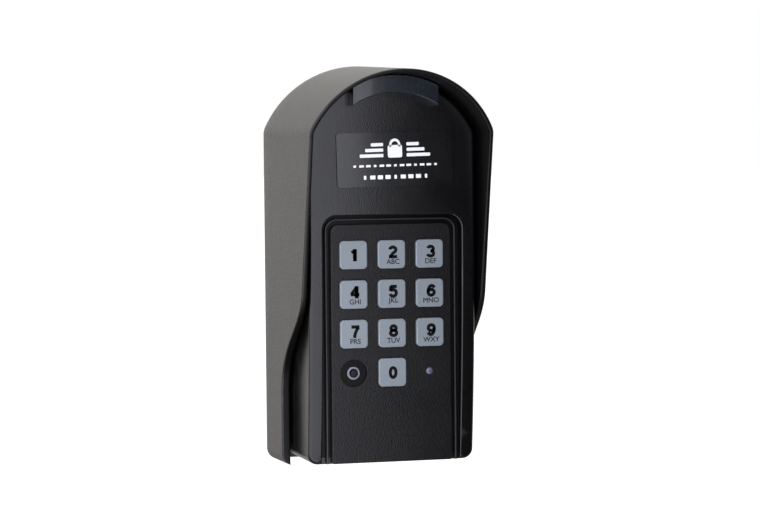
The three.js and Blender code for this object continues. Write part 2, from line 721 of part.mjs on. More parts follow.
function batteryDoor() {
  const width = 2 * (HOLDER.halfWidth - GAP);
  const height = 2 * (HOLDER.halfHeight - GAP);
  const door = prismY(roundedRectangle(0, CELL.z, width, height, 1), CASE.back - 2, CASE.back - 0.2);
  const top = CELL.z + height / 2;
  const fingerGroove = block([-7, 7], [CASE.back - 1.2, 0], [top - 6, top - 3]);
  return cut(door, fingerGroove);
}

// ---- Assembly ----------------------------------------------------------------------------------------

const reader = new THREE.Group();

function place(name, finish, geometry) {
  const mesh = new THREE.Mesh(geometry, new THREE.MeshStandardMaterial(FINISHES[finish]));
  mesh.name = name;
  reader.add(mesh);
}

// Copies of one piece are numbered from 1.
function placeEach(name, finish, geometries) {
  geometries.forEach((geometry, index) => place(`${name}_${index + 1}`, finish, geometry));
}

place('wall_plate', 'innerPlastic', wallPlate());
place('case_lock_screw', 'steel', caseLockScrew());
place('hood', 'hoodPlastic', hood());

place('rear_case', 'casePlastic', rearCase());
place('front_case', 'casePlastic', frontCase());
place('case_seal', 'rubber', caseSeal());
placeEach('case_screw', 'steel', atCorners(CASE_SCREWS, caseScrew));
place('label_plate', 'label', labelPlate());

place('keypad_panel', 'panelPlastic', keypadPanel());
place('panel_seal', 'rubber', panelSeal());
place('key_mat', 'rubber', keyMat());
for (const { digit, x, z } of keyPlaces()) {
  place(`key_${digit}`, 'keyPlastic', keyCap(x, z));
}
place('program_button', 'rubber', programButton());
place('button_collar', 'keyPlastic', buttonCollar());
place('program_switch', 'chip', programSwitch());
place('status_led', 'statusLens', statusLed());

place('circuit_board', 'board', circuitBoard());
placeEach('board_screw', 'steel', atCorners(BOARD_SCREWS, boardScrew));
place('controller_chip', 'chip', onBoard(CHIP));
place('radio_module', 'board', onBoard(RADIO));
place('antenna_wire', 'wire', wire(ANTENNA.radius, ANTENNA.route, ANTENNA.steps));

place('lamp_lens', 'clearLens', lampLens());
place('lamp_board', 'board', lampBoard());
placeEach('lamp_led', 'statusLens', lampLedPlaces().map(([x, z]) => lampLed(x, z)));
placeEach('lamp_lead', 'wire', [-2, 1].map((x) => lead(LAMP_LEAD, x)));

place('battery_holder', 'innerPlastic', batteryHolder());
placeEach('battery', 'cell', CELL_COLUMNS.map(batteryCell));
place('positive_contact', 'steel', batteryContact([-CELL.pitch], 1));
place('lower_bridge_contact', 'steel', batteryContact([-CELL.pitch, 0], -1));
place('upper_bridge_contact', 'steel', batteryContact([0, CELL.pitch], 1));
place('negative_contact', 'steel', batteryContact([CELL.pitch], -1));
place('battery_door', 'casePlastic', batteryDoor());
placeEach('battery_lead', 'wire', [-12, -9].map((x) => lead(BATTERY_LEAD, x)));

export default reader;
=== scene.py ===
"""The looks of a keypad access reader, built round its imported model.

Sizes are millimetres in the tables and the shape code, and each mesh is scaled to metres as it is made.
+Z is up, +X is to the right of a person who faces the keypad, and -Y points out of the wall.
"""

import math

import bmesh
import bpy
from mathutils import Matrix, Vector


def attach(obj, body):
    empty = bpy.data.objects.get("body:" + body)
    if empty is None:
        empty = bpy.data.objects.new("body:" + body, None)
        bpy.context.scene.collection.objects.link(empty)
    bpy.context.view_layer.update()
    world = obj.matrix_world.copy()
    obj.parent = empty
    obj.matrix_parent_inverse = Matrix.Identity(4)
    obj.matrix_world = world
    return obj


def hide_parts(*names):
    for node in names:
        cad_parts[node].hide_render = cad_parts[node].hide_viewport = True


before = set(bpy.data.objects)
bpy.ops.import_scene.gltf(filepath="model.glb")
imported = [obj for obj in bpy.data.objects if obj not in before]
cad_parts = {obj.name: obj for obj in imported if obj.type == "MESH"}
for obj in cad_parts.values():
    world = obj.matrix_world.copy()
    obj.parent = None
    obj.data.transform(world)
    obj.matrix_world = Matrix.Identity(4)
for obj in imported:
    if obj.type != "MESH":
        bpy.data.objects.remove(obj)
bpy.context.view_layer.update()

MM = 0.001
FAR = 130
GAP = 0.3                       # left between pieces that meet

# ---- Sizes, in millimetres -------------------------------------------------------------------------

ARCH_Z = 45.36                  # height of the centre that every arch shares

HOOD = dict(half_width=48.83, top_radius=53.12, draft=0.0431, bottom=-98.5, corner=6.0, shoulder=9.0,
            inner_half_width=43.4, inner_radius=47.4, inner_shoulder=6.0, back=-0.3, rim=1.0, tip=0.3,
            front_at_origin=-68.66, lean=0.2136, sweep_top=-12.0, sweep_bottom=-63.0, lower_edge=-28.85)
CASE = dict(half_width=41.6, top_radius=45.8, bottom=-95.0, corner=5.0, shoulder=8.0, wall=2.4, edge=1.7,
            face=-63.35, face_bend=15.0, face_radius=1000.0, seam=-20.0, back=-8.6)
RECESS = dict(half_width=34.7, top=25.0, corner=7.0, floor=-56.8, floor_thickness=2.2, tub_wall=2.2, edge=0.8)
WINDOW = dict(half_width=28.5, top=19.2, bottom=-80.0)
PANEL = dict(half_width=30.15, top=20.77, bottom=-94.73, corner=4.0, front=-59.8, back=-57.1, edge=0.55)
SEAL = dict(half_width=32.3, top=23.05, thickness=0.9, corner=5.5, front=-59.35)
LABEL = dict(width=58.0, height=26.4, corner=1.5, x=1.3, z=52.0, thickness=0.5, tilt=1.2)
KEY = dict(pitch=19.05, size=13.7, corner=2.0, front=-61.35, flange=15.6, flange_thickness=1.0,
           clearance=0.2, edge=0.55)
KEYPAD_Z = -13.0                # height of key 5, which lies on the middle line
LAST_ROW_Z = KEYPAD_Z - 2 * KEY["pitch"]
PROGRAM = dict(x=-KEY["pitch"], pocket=6.55, pocket_depth=1.5, collar=3.1, radius=1.8, front=-60.9)
STATUS = dict(x=KEY["pitch"], radius=1.75)
BOARD_SCREWS = dict(x=22.0, heights=(16.6, -68.0), radius=1.0, head=1.9, boss=2.3, board_back=-50.6)
LAMP = dict(half_width=21.3, lower_radius=38.6, upper_radius=46.9, depth=7.7, wall=1.2, edge=0.35)
LAMP_LED = dict(radius=1.5, ring=41.6, spread=20.0)
PLATE = dict(half_width=43.0, top_radius=47.0, bottom=-97.6, corner=3.0, shoulder=6.0, thickness=3.0,
             edge=0.5)
RAIL = dict(front=-8.0, width=3.5, tongue_back=-5.5, reach=45.0, bottom=-90.0, top=62.0)
WALL_HOLES = dict(x=26.0, heights=(66.0, -82.0), radius=2.5)
HOOK = dict(x=33.0, width=6.0, heights=(40.0, -60.0), stem=6.0, lip=6.0, lip_front=-13.6, lip_back=-11.1)
LOCK = dict(y=-13.0, radius=1.5, head=2.8, flange_half=9.0, flange_top=-95.3, top=-86.0)
CASE_SCREWS = dict(x=35.8, heights=(58.0, -86.0), radius=1.5, boss=4.0, front=-33.0, head=3.0)
CELL_Z = -36.0
HOLDER = dict(half_width=25.1, half_height=31.5)

DIGIT = dict(stroke=1.58, depth=0.06)
LETTERS = {2: "ABC", 3: "DEF", 4: "GHI", 5: "JKL", 6: "MNO", 7: "PRS", 8: "TUV", 9: "WXY"}


# ---- Camera, floor and light -----------------------------------------------------------------------

CAMERA = dict(azimuth=15.501, elevation=2.7719, roll=-0.5155, distance=1204.5, lens=118.42,
              aim=(-5.96, -61.35, 0.53))


def make_camera():
    """A long lens from the keypad's left, a little above it, turned very slightly."""
    azimuth, elevation = math.radians(CAMERA["azimuth"]), math.radians(CAMERA["elevation"])
    forward = Vector((
        math.sin(azimuth) * math.cos(elevation),
        math.cos(azimuth) * math.cos(elevation),
        -math.sin(elevation),
    ))
    level = Vector((math.cos(azimuth), -math.sin(azimuth), 0))
    roll = Matrix.Rotation(-math.radians(CAMERA["roll"]), 3, forward)
    right = roll @ level
    up = right.cross(forward)
    camera = bpy.data.objects.new("camera", bpy.data.cameras.new("camera"))
    camera.data.lens = CAMERA["lens"]
    camera.data.sensor_width = 36
    camera.data.clip_start = 0.05
    camera.data.clip_end = 60
    place = Matrix((right, up, -forward)).transposed().to_4x4()
    place.translation = (Vector(CAMERA["aim"]) - forward * CAMERA["distance"]) * MM
    camera.matrix_world = place
    bpy.context.scene.collection.objects.link(camera)
    bpy.context.scene.camera = camera


# The studio's own sizes are in metres.
FLOOR_Z = -0.34
FLOOR_REACH = 30
CARD = dict(left=-1.2, right=0.04, low=-0.32, high=0.7, y=-0.26, strength=2.3)


def panel_mesh(name, corners):
    mesh = bpy.data.meshes.new(name)
    mesh.from_pydata(corners, [], [(0, 1, 2, 3)])
    thing = bpy.data.objects.new(name, mesh)
    bpy.context.scene.collection.objects.link(thing)
    return thing


def make_studio():
    """A pale floor well below, white surroundings that fall away at the front right, and one soft card."""
    floor = panel_mesh("floor", [
        (x * FLOOR_REACH, y * FLOOR_REACH, FLOOR_Z) for x, y in ((-1, -1), (1, -1), (1, 1), (-1, 1))])
    paint = bpy.data.materials.new("pale_floor")
    paint.use_nodes = True
    shader = paint.node_tree.nodes["Principled BSDF"]
    shader.inputs["Base Color"].default_value = (0.9, 0.9, 0.9, 1)
    shader.inputs["Roughness"].default_value = 0.9
    shader.inputs["Specular IOR Level"].default_value = 0.1
    shader.inputs["Emission Color"].default_value = (1, 1, 1, 1)
    shader.inputs["Emission Strength"].default_value = 0.45
    floor.data.materials.append(paint)
    floor.visible_glossy = False
    floor.visible_diffuse = False

    left, right, y = CARD["left"], CARD["right"], CARD["y"]
    card = panel_mesh("front_card", [
        (left, y, CARD["low"]), (right, y, CARD["low"]), (right, y, CARD["high"]), (left, y, CARD["high"]),
    ])
    card.visible_camera = False
    glow = bpy.data.materials.new("card_glow")
    glow.use_nodes = True
    shader = glow.node_tree.nodes["Principled BSDF"]
    shader.inputs["Base Color"].default_value = (0, 0, 0, 1)
    shader.inputs["Emission Color"].default_value = (0.95, 0.96, 1.06, 1)
    shader.inputs["Emission Strength"].default_value = CARD["strength"]
    card.data.materials.append(glow)

    world = bpy.data.worlds.new("studio")
    bpy.context.scene.world = world
    world.use_nodes = True
    nodes, links = world.node_tree.nodes, world.node_tree.links
    background = nodes["Background"]
    direction = nodes.new("ShaderNodeTexCoord").outputs["Generated"]

    def toward(aim, low, high, at_low, at_high):
        """A strength that changes smoothly with how nearly a ray points towards aim."""
        nearness = nodes.new("ShaderNodeVectorMath")
        nearness.operation = "DOT_PRODUCT"
        nearness.inputs[1].default_value = Vector(aim).normalized()
        links.new(direction, nearness.inputs[0])
        fade = nodes.new("ShaderNodeMapRange")
        fade.interpolation_type = "SMOOTHSTEP"
        for label, value in (("From Min", low), ("From Max", high), ("To Min", at_low), ("To Max", at_high)):
            fade.inputs[label].default_value = value
        links.new(nearness.outputs["Value"], fade.inputs["Value"])
        return fade.outputs["Result"]

    front_dark = toward((0.38, -0.92, 0), 0.32, 0.9, 1.0, 0.01)
    below_dark = toward((0, 0, 1), -0.6, 0.15, 0.3, 1.0)
    shade = nodes.new("ShaderNodeMath")
    shade.operation = "MULTIPLY"
    links.new(front_dark, shade.inputs[0])
    links.new(below_dark, shade.inputs[1])
    seen = nodes.new("ShaderNodeLightPath").outputs["Is Camera Ray"]
    strength = nodes.new("ShaderNodeMix")
    strength.inputs["B"].default_value = 1.0
    links.new(seen, strength.inputs["Factor"])
    links.new(shade.outputs[0], strength.inputs["A"])
    links.new(strength.outputs["Result"], background.inputs["Strength"])
    tint = nodes.new("ShaderNodeMix")
    tint.data_type = "RGBA"
    warm, white = [socket for socket in tint.inputs if socket.type == "RGBA"]
    warm.default_value = (1.0, 0.975, 0.94, 1)
    white.default_value = (1, 1, 1, 1)
    links.new(seen, tint.inputs["Factor"])
    links.new(next(socket for socket in tint.outputs if socket.type == "RGBA"), background.inputs["Color"])
    bpy.context.scene.view_settings.view_transform = "Standard"


make_camera()
make_studio()


# ---- Outlines: lists of (x, z), up the right side, over the top and down the left ------------------

def arc(x, z, radius, start, end, edges):
    """Points of a round stretch, from one angle to another, in degrees."""
    angles = [math.radians(start + (end - start) * step / edges) for step in range(edges + 1)]
    return [(x + radius * math.cos(a), z + radius * math.sin(a)) for a in angles]


def line(start, end, edges):
    """Points between two ends, without the first one."""
    steps = [step / edges for step in range(1, edges + 1)]
    return [(start[0] + (end[0] - start[0]) * t, start[1] + (end[1] - start[1]) * t) for t in steps]


def mirrored(right_half):
    return right_half + [(-x, z) for x, z in reversed(right_half)]


def arch(half_width, top_radius, bottom, corner, shoulder, inset=0.0):
    """Straight sides under a round top. The shoulders and the bottom corners are rounded."""
    half_width, top_radius, bottom = half_width - inset, top_radius - inset, bottom + inset
    corner, shoulder = max(corner - inset, 0.05), max(shoulder - inset, 0.05)
    shoulder_x = half_width - shoulder
    shoulder_z = ARCH_Z + math.sqrt((top_radius - shoulder) ** 2 - shoulder_x ** 2)
    turn = math.degrees(math.atan2(shoulder_z - ARCH_Z, shoulder_x))
    corner_points = arc(half_width - corner, bottom + corner, corner, -90, 0, 8)
    side = line((half_width, bottom + corner), (half_width, shoulder_z), 40)
    return mirrored(
        corner_points + side
        + arc(shoulder_x, shoulder_z, shoulder, 0, turn, 8)[1:]
        + arc(0, ARCH_Z, top_radius, turn, 89, 30)[1:]
    )


def case_arch(inset=0.0):
    return arch(CASE["half_width"], CASE["top_radius"], CASE["bottom"], CASE["corner"], CASE["shoulder"],
                inset)


def tablet(half_width, top, bottom, corner, inset=0.0, bottom_corner=0.05):
    """A door shape: two rounded top corners over a square bottom."""
    half_width, top = half_width - inset, top - inset
    corner = max(corner - inset, 0.05)
    low = bottom + inset
    foot = arc(half_width - bottom_corner, low + bottom_corner, bottom_corner, -90, 0, 3)
    side = line(foot[-1], (half_width, top - corner), 40)
    return mirrored(foot + side + arc(half_width - corner, top - corner, corner, 0, 90, 12)[1:])


def rounded_rectangle(x, z, width, height, corner, inset=0.0):
    half_w, half_h, corner = width / 2 - inset, height / 2 - inset, max(corner - inset, 0.05)
    right = (arc(half_w - corner, corner - half_h, corner, -90, 0, 8)
             + arc(half_w - corner, half_h - corner, corner, 0, 90, 8))
    return [(x + px, z + pz) for px, pz in mirrored(right)]


def circle(x, z, radius, sides=48):
    return arc(x, z, radius, -90, 270 - 360 / sides, sides - 1)


# ---- Solids: (points, faces) in millimetres --------------------------------------------------------

def ladder(count, offset=0):
    """A cap across a mirrored outline, one rung from side to side at each height."""
    return [
        (offset + i, offset + i + 1, offset + count - 2 - i, offset + count - 1 - i)
        for i in range(count // 2 - 1)
    ]


def skin(rings, rungs=False, ends=True):
    """A surface through rings that have equally many points, closed at both ends."""
    count = len(rings[0])
    points = [point for ring in rings for point in ring]
    faces = []
    for r in range(len(rings) - 1):
        for i in range(count):
            j = (i + 1) % count
            faces.append((r * count + i, r * count + j, (r + 1) * count + j, (r + 1) * count + i))
    last = (len(rings) - 1) * count
    if rungs:
        faces += ladder(count) + ladder(count, last)
    elif ends:
        faces += [tuple(range(count)), tuple(range(last, last + count))]
    return points, faces


def prism(outline, front, back, rungs=False):
    return skin([[(x, y, z) for x, z in outline] for y in (front, back)], rungs)


def block(x_ends, y_ends, z_ends):
    (x0, x1), (z0, z1) = sorted(x_ends), sorted(z_ends)
    return prism([(x1, z0), (x1, z1), (x0, z1), (x0, z0)], *y_ends)


def rod_y(radius, x, z, front, back, sides=48):
    return prism(circle(x, z, radius, sides), front, back)


def quarter(radius, steps=6, degrees=90.0):
    """(inward, forward) steps of a rounded edge, from the side of a piece round to its front."""
    angles = [math.radians(degrees * step / steps) for step in range(steps + 1)]
    return [(radius * (1 - math.cos(a)), radius * math.sin(a)) for a in angles]


def puck(outline_at, front, back, edge, back_edge=0.0, rungs=False, front_y=None):
    """A plate whose outline comes from outline_at(inset), rounded round its front and its back."""
    front_y = front_y or (lambda z, inset=0.0: front)
    rings = []
    if back_edge:
        for inward, forward in reversed(quarter(back_edge, 3)):
            rings.append([(x, back - (back_edge - forward), z) for x, z in outline_at(inward)])
    else:
        rings.append([(x, back, z) for x, z in outline_at(0.0)])
    for inward, forward in quarter(edge):
        rings.append([(x, front_y(z) + edge - forward, z) for x, z in outline_at(inward)])
    return skin(rings, rungs)


def flared_hole(outline_at, front_y, back, edge):
    """A cutter for a hole whose mouth is rounded: it flares out as it comes to the surface."""
    end = math.radians(72.0)
    reach = 0.4 * edge
    steps = quarter(edge, 5, math.degrees(end))
    steps.append((steps[-1][0] + reach * math.sin(end), steps[-1][1] + reach * math.cos(end)))
    rings = [[(x, back, z) for x, z in outline_at(0.0)]]
    for number, (inward, forward) in enumerate(steps, 1):
        shallowest = back - 0.04 * number
        rings.append([
            (x, min(front_y(z) + edge - forward, shallowest), z) for x, z in outline_at(-inward)
        ])
    return skin(rings, rungs=True)


def lathe(profile, x, z, sides=48):
    """A round piece along Y from (radius, y) pairs, closed at both ends."""
    rings = [[(px, y, pz) for px, pz in circle(x, z, radius, sides)] for radius, y in profile]
    return skin(rings)


def lathe_z(profile, x, y, sides=48):
    """A round piece along Z from (radius, z) pairs, closed at both ends."""
    rings = [[(px, py, z) for px, py in circle(x, y, radius, sides)] for radius, z in profile]
    return skin(rings)


def joined(*solids):
    """Several solids as one list of points and faces, without a boolean."""
    points, faces = [], []
    for more_points, more_faces in solids:
        start = len(points)
        points += list(more_points)
        faces += [tuple(start + i for i in face) for face in more_faces]
    return points, faces


def at_corners(group, make):
    """One solid at each side and each height."""
    return [make(side * group["x"], z) for z in group["heights"] for side in (-1, 1)]


# ---- Meshes and booleans ---------------------------------------------------------------------------

def linked(name, mesh):
    thing = bpy.data.objects.new(name, mesh)
    bpy.context.scene.collection.objects.link(thing)
    return thing


def solid_object(name, solid):
    """A mesh object in metres, with its doubles merged and its faces turned outwards."""
    points, faces = solid
    mesh = bpy.data.meshes.new(name)
    mesh.from_pydata([Vector(point) * MM for point in points], [], faces)
    work = bmesh.new()
    work.from_mesh(mesh)
    bmesh.ops.remove_doubles(work, verts=work.verts, dist=1e-7)
    bmesh.ops.recalc_face_normals(work, faces=work.faces)
    work.to_mesh(mesh)
    work.free()
    return linked(name, mesh)


def evaluated(thing):
    """Turns an object's modifiers into its mesh."""
    graph = bpy.context.evaluated_depsgraph_get()
    mesh = bpy.data.meshes.new_from_object(thing.evaluated_get(graph))
    thing.modifiers.clear()
    thing.data = mesh
    return thing


def discard(thing):
    bpy.data.objects.remove(thing)


def boolean(thing, solids, operation):
    """Joins solids to an object, or cuts them out of it."""
    if not solids:
        return thing
    tool = solid_object("tool", joined(*solids))
    modifier = thing.modifiers.new("boolean", "BOOLEAN")
    modifier.object = tool
    modifier.operation = operation
    modifier.solver = "EXACT"
    modifier.use_self = len(solids) > 1
    evaluated(thing)
    discard(tool)
    return thing


def smoothed(thing, degrees=38):
    """Smooth faces, with the sharp edges kept and the large faces ruling the normals."""
    mesh = thing.data
    mesh.polygons.foreach_set("use_smooth", [True] * len(mesh.polygons))
    mesh.set_sharp_from_angle(angle=math.radians(degrees))
    modifier = thing.modifiers.new("normals", "WEIGHTED_NORMAL")
    modifier.keep_sharp = True
    modifier.weight = 80
    return evaluated(thing)


def finish_piece(thing, material, body, nodes):
    """Gives a piece its material, its body, and the model nodes that it stands for."""
    thing.data.name = thing.name
    if material is not None:
        thing.data.materials.clear()
        thing.data.materials.append(material)
    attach(thing, body)
    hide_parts(*nodes)
    return thing


def joined_objects(name, things):
    """Several mesh objects as one that keeps each one's material."""
    work = bmesh.new()
    materials = []
    for thing in things:
        first = len(materials)
        materials += [m for m in thing.data.materials]
        before = len(work.faces)
        work.from_mesh(thing.data)
        work.faces.ensure_lookup_table()
        for face in work.faces[before:]:
            face.material_index += first
    mesh = bpy.data.meshes.new(name)
    work.to_mesh(mesh)
    work.free()
    for material in materials:
        mesh.materials.append(material)
    for thing in things:
        discard(thing)
    return linked(name, mesh)


# ---- Shader groups ---------------------------------------------------------------------------------

def new_group(name, inputs, outputs):
    """An empty shader group. inputs and outputs are (name, kind, value) and (name, kind)."""
    tree = bpy.data.node_groups.new(name, "ShaderNodeTree")
    for label, kind, value in inputs:
        socket = tree.interface.new_socket(label, in_out="INPUT", socket_type=kind)
        if value is not None:
            socket.default_value = value
    for label, kind in outputs:
        tree.interface.new_socket(label, in_out="OUTPUT", socket_type=kind)
    start, end = tree.nodes.new("NodeGroupInput"), tree.nodes.new("NodeGroupOutput")
    return tree, tree.nodes, tree.links, start.outputs, end.inputs


def math_node(nodes, links, operation, first, second=None):
    """One sum. Each operand is a socket or a number."""
    node = nodes.new("ShaderNodeMath")
    node.operation = operation
    for socket, value in zip(node.inputs, (first, second)):
        if isinstance(value, bpy.types.NodeSocket):
            links.new(value, socket)
        elif value is not None:
            socket.default_value = value
    return node.outputs[0]


def map_range(nodes, links, value, from_min, from_max, to_min, to_max):
    node = nodes.new("ShaderNodeMapRange")
    labels = ("From Min", "From Max", "To Min", "To Max")
    for label, number in zip(labels, (from_min, from_max, to_min, to_max)):
        if isinstance(number, bpy.types.NodeSocket):
            links.new(number, node.inputs[label])
        else:
            node.inputs[label].default_value = number
    links.new(value, node.inputs["Value"])
    return node.outputs["Result"]


def mix_colour(nodes, links, factor, first, second, blend="MIX"):
    node = nodes.new("ShaderNodeMix")
    node.data_type = "RGBA"
    node.blend_type = blend
    colours = [socket for socket in node.inputs if socket.type == "RGBA"]
    for socket, value in ((node.inputs[0], factor), (colours[0], first), (colours[1], second)):
        if isinstance(value, bpy.types.NodeSocket):
            links.new(value, socket)
        else:
            socket.default_value = value
    return next(socket for socket in node.outputs if socket.type == "RGBA")


def grain_group():
    """Moulded grain: small irregular cells with soft valleys, over slow changes of tone and gloss."""
    tree, nodes, links, given, out = new_group("moulded_grain", [
        ("Position", "NodeSocketVector", None),
        ("Colour", "NodeSocketColor", (0.02, 0.02, 0.02, 1)),
        ("Cells per metre", "NodeSocketFloat", 1600.0),
        ("Tone spread", "NodeSocketFloat", 0.2),
        ("Roughness", "NodeSocketFloat", 0.45),
        ("Gloss spread", "NodeSocketFloat", 0.06),
    ], [("Colour", "NodeSocketColor"), ("Roughness", "NodeSocketFloat"), ("Height", "NodeSocketFloat")])
    cells = nodes.new("ShaderNodeTexVoronoi")
    cells.feature = "SMOOTH_F1"
    cells.inputs["Smoothness"].default_value = 0.35
    bend = nodes.new("ShaderNodeTexNoise")
    bend.inputs["Detail"].default_value = 2
    links.new(given["Position"], bend.inputs["Vector"])
    links.new(given["Cells per metre"], bend.inputs["Scale"])
    shift = nodes.new("ShaderNodeVectorMath")
    shift.operation = "MULTIPLY_ADD"
    shift.inputs[1].default_value = (0.0003, 0.0003, 0.0003)
    links.new(bend.outputs["Color"], shift.inputs[0])
    links.new(given["Position"], shift.inputs[2])
    links.new(shift.outputs["Vector"], cells.inputs["Vector"])
    links.new(given["Cells per metre"], cells.inputs["Scale"])
    slow = nodes.new("ShaderNodeTexNoise")
    slow.inputs["Scale"].default_value = 38
    slow.inputs["Detail"].default_value = 4
    links.new(given["Position"], slow.inputs["Vector"])
    valley = map_range(nodes, links, cells.outputs["Distance"], 0.15, 0.75, 0.0, 1.0)
    height = math_node(nodes, links, "SUBTRACT", 1.0, valley)
    swing = map_range(nodes, links, slow.outputs["Fac"], 0.3, 0.7, -1.0, 1.0)
    fine = map_range(nodes, links, height, 0.0, 1.0, -1.0, 1.0)
    both = math_node(nodes, links, "ADD", math_node(nodes, links, "MULTIPLY", swing, 0.5),
                     math_node(nodes, links, "MULTIPLY", fine, 0.5))
    spread = math_node(nodes, links, "MULTIPLY", both, given["Tone spread"])
    tone = math_node(nodes, links, "ADD", spread, 1.0)
    scale = nodes.new("ShaderNodeVectorMath")
    scale.operation = "SCALE"
    links.new(given["Colour"], scale.inputs[0])
    links.new(tone, scale.inputs["Scale"])
    links.new(scale.outputs["Vector"], out["Colour"])
    links.new(math_node(nodes, links, "ADD", given["Roughness"],
                        math_node(nodes, links, "MULTIPLY", swing, given["Gloss spread"])), out["Roughness"])
    links.new(height, out["Height"])
    return tree


def dust_group():
    """Dust that has settled where a surface faces up, and thinly in patches elsewhere."""
    tree, nodes, links, given, out = new_group("settled_dust", [
        ("Position", "NodeSocketVector", None),
        ("Colour", "NodeSocketColor", (0.02, 0.02, 0.02, 1)),
        ("Roughness", "NodeSocketFloat", 0.45),
        ("Amount", "NodeSocketFloat", 0.1),
    ], [("Colour", "NodeSocketColor"), ("Roughness", "NodeSocketFloat")])
    surface = nodes.new("ShaderNodeNewGeometry")
    split = nodes.new("ShaderNodeSeparateXYZ")
    links.new(surface.outputs["Normal"], split.inputs[0])
    upward = map_range(nodes, links, split.outputs["Z"], -0.1, 0.9, 0.12, 1.0)
    specks = nodes.new("ShaderNodeTexNoise")
    specks.inputs["Scale"].default_value = 420
    specks.inputs["Detail"].default_value = 6
    specks.inputs["Roughness"].default_value = 0.7
    links.new(given["Position"], specks.inputs["Vector"])
    patch = map_range(nodes, links, specks.outputs["Fac"], 0.42, 0.72, 0.0, 1.0)
    settled = math_node(nodes, links, "MULTIPLY", upward, patch)
    mask = math_node(nodes, links, "MULTIPLY", settled, given["Amount"])
    links.new(mix_colour(nodes, links, mask, given["Colour"], (0.33, 0.31, 0.28, 1)), out["Colour"])
    links.new(map_range(nodes, links, mask, 0.0, 1.0, given["Roughness"], 0.85), out["Roughness"])
    return tree


def wear_and_edge_highlight_group():
    """Edges that hands and weather have polished, a little paler and smoother; the paler edges are also a
    painted highlight.
    """
    tree, nodes, links, given, out = new_group("rubbed_and_highlighted_edges", [
        ("Position", "NodeSocketVector", None),
        ("Colour", "NodeSocketColor", (0.02, 0.02, 0.02, 1)),
        ("Worn colour", "NodeSocketColor", (0.06, 0.06, 0.06, 1)),
        ("Roughness", "NodeSocketFloat", 0.45),
        ("Amount", "NodeSocketFloat", 0.5),
    ], [("Colour", "NodeSocketColor"), ("Roughness", "NodeSocketFloat")])
    surface = nodes.new("ShaderNodeNewGeometry")
    # Convex edges get paler: partly rubbed wear, partly a painted highlight along the edges.
    edge = map_range(nodes, links, surface.outputs["Pointiness"], 0.52, 0.62, 0.0, 1.0)
    patches = nodes.new("ShaderNodeTexNoise")
    patches.inputs["Scale"].default_value = 160
    patches.inputs["Detail"].default_value = 5
    links.new(given["Position"], patches.inputs["Vector"])
    broken = map_range(nodes, links, patches.outputs["Fac"], 0.35, 0.65, 0.25, 1.0)
    rubbed_and_highlighted = math_node(nodes, links, "MULTIPLY", edge, broken)
    mask = math_node(nodes, links, "MULTIPLY", rubbed_and_highlighted, given["Amount"])
    links.new(mix_colour(nodes, links, mask, given["Colour"], given["Worn colour"]), out["Colour"])
    slicker = math_node(nodes, links, "MULTIPLY", mask, -0.12)
    links.new(math_node(nodes, links, "ADD", given["Roughness"], slicker), out["Roughness"])
    return tree


def scratch_group():
    """Fine hairline scratches in a few directions, as a mask."""
    tree, nodes, links, given, out = new_group("hairline_scratches", [
        ("Position", "NodeSocketVector", None),
        ("Amount", "NodeSocketFloat", 0.3),
    ], [("Mask", "NodeSocketFloat")])
    masks = []
    for turn, stretch in ((0.5, 26.0), (2.1, 18.0)):
        mapping = nodes.new("ShaderNodeMapping")
        mapping.inputs["Rotation"].default_value = (0, turn, 0)
        mapping.inputs["Scale"].default_value = (stretch * 60, 60, 60)
        links.new(given["Position"], mapping.inputs["Vector"])
        lines = nodes.new("ShaderNodeTexNoise")
        lines.inputs["Scale"].default_value = 1.0
        lines.inputs["Detail"].default_value = 3
        links.new(mapping.outputs["Vector"], lines.inputs["Vector"])
        masks.append(map_range(nodes, links, lines.outputs["Fac"], 0.66, 0.74, 0.0, 1.0))
    either = math_node(nodes, links, "MAXIMUM", *masks)
    links.new(math_node(nodes, links, "MULTIPLY", either, given["Amount"]), out["Mask"])
    return tree


GRAIN, DUST, WEAR_AND_EDGE_HIGHLIGHT, SCRATCHES = grain_group(), dust_group(), wear_and_edge_highlight_group(), scratch_group()


# ---- Materials -------------------------------------------------------------------------------------

class Paint:
    """A new material with its Principled shader and object coordinates."""

    def __init__(self, name, **constants):
        self.material = bpy.data.materials.new(name)
        self.material.use_nodes = True
        self.nodes = self.material.node_tree.nodes
        self.links = self.material.node_tree.links
        self.shader = self.nodes["Principled BSDF"]
        self.position = self.nodes.new("ShaderNodeTexCoord").outputs["Object"]
        for label, value in constants.items():
            self.shader.inputs[label.replace("_", " ")].default_value = value

    def group(self, tree, **values):
        """Places a shader group. A value is a number, a colour, or a socket to link."""
        node = self.nodes.new("ShaderNodeGroup")
        node.node_tree = tree
        self.links.new(self.position, node.inputs["Position"])
        for label, value in values.items():
            socket = node.inputs[label.replace("_", " ")]
            if isinstance(value, bpy.types.NodeSocket):
                self.links.new(value, socket)
            else:
                socket.default_value = value
        return node.outputs

    def use(self, colour=None, roughness=None, height=None, depth=0.0):
        """Feeds the shader. depth is the height's size in millimetres."""
        if colour is not None:
            self.links.new(colour, self.shader.inputs["Base Color"])
        if roughness is not None:
            self.links.new(roughness, self.shader.inputs["Roughness"])
        if height is not None:
            bump = self.nodes.new("ShaderNodeBump")
            bump.inputs["Strength"].default_value = 1.0
            bump.inputs["Distance"].default_value = depth * MM
            self.links.new(height, bump.inputs["Height"])
            self.links.new(bump.outputs["Normal"], self.shader.inputs["Normal"])
        return self.material


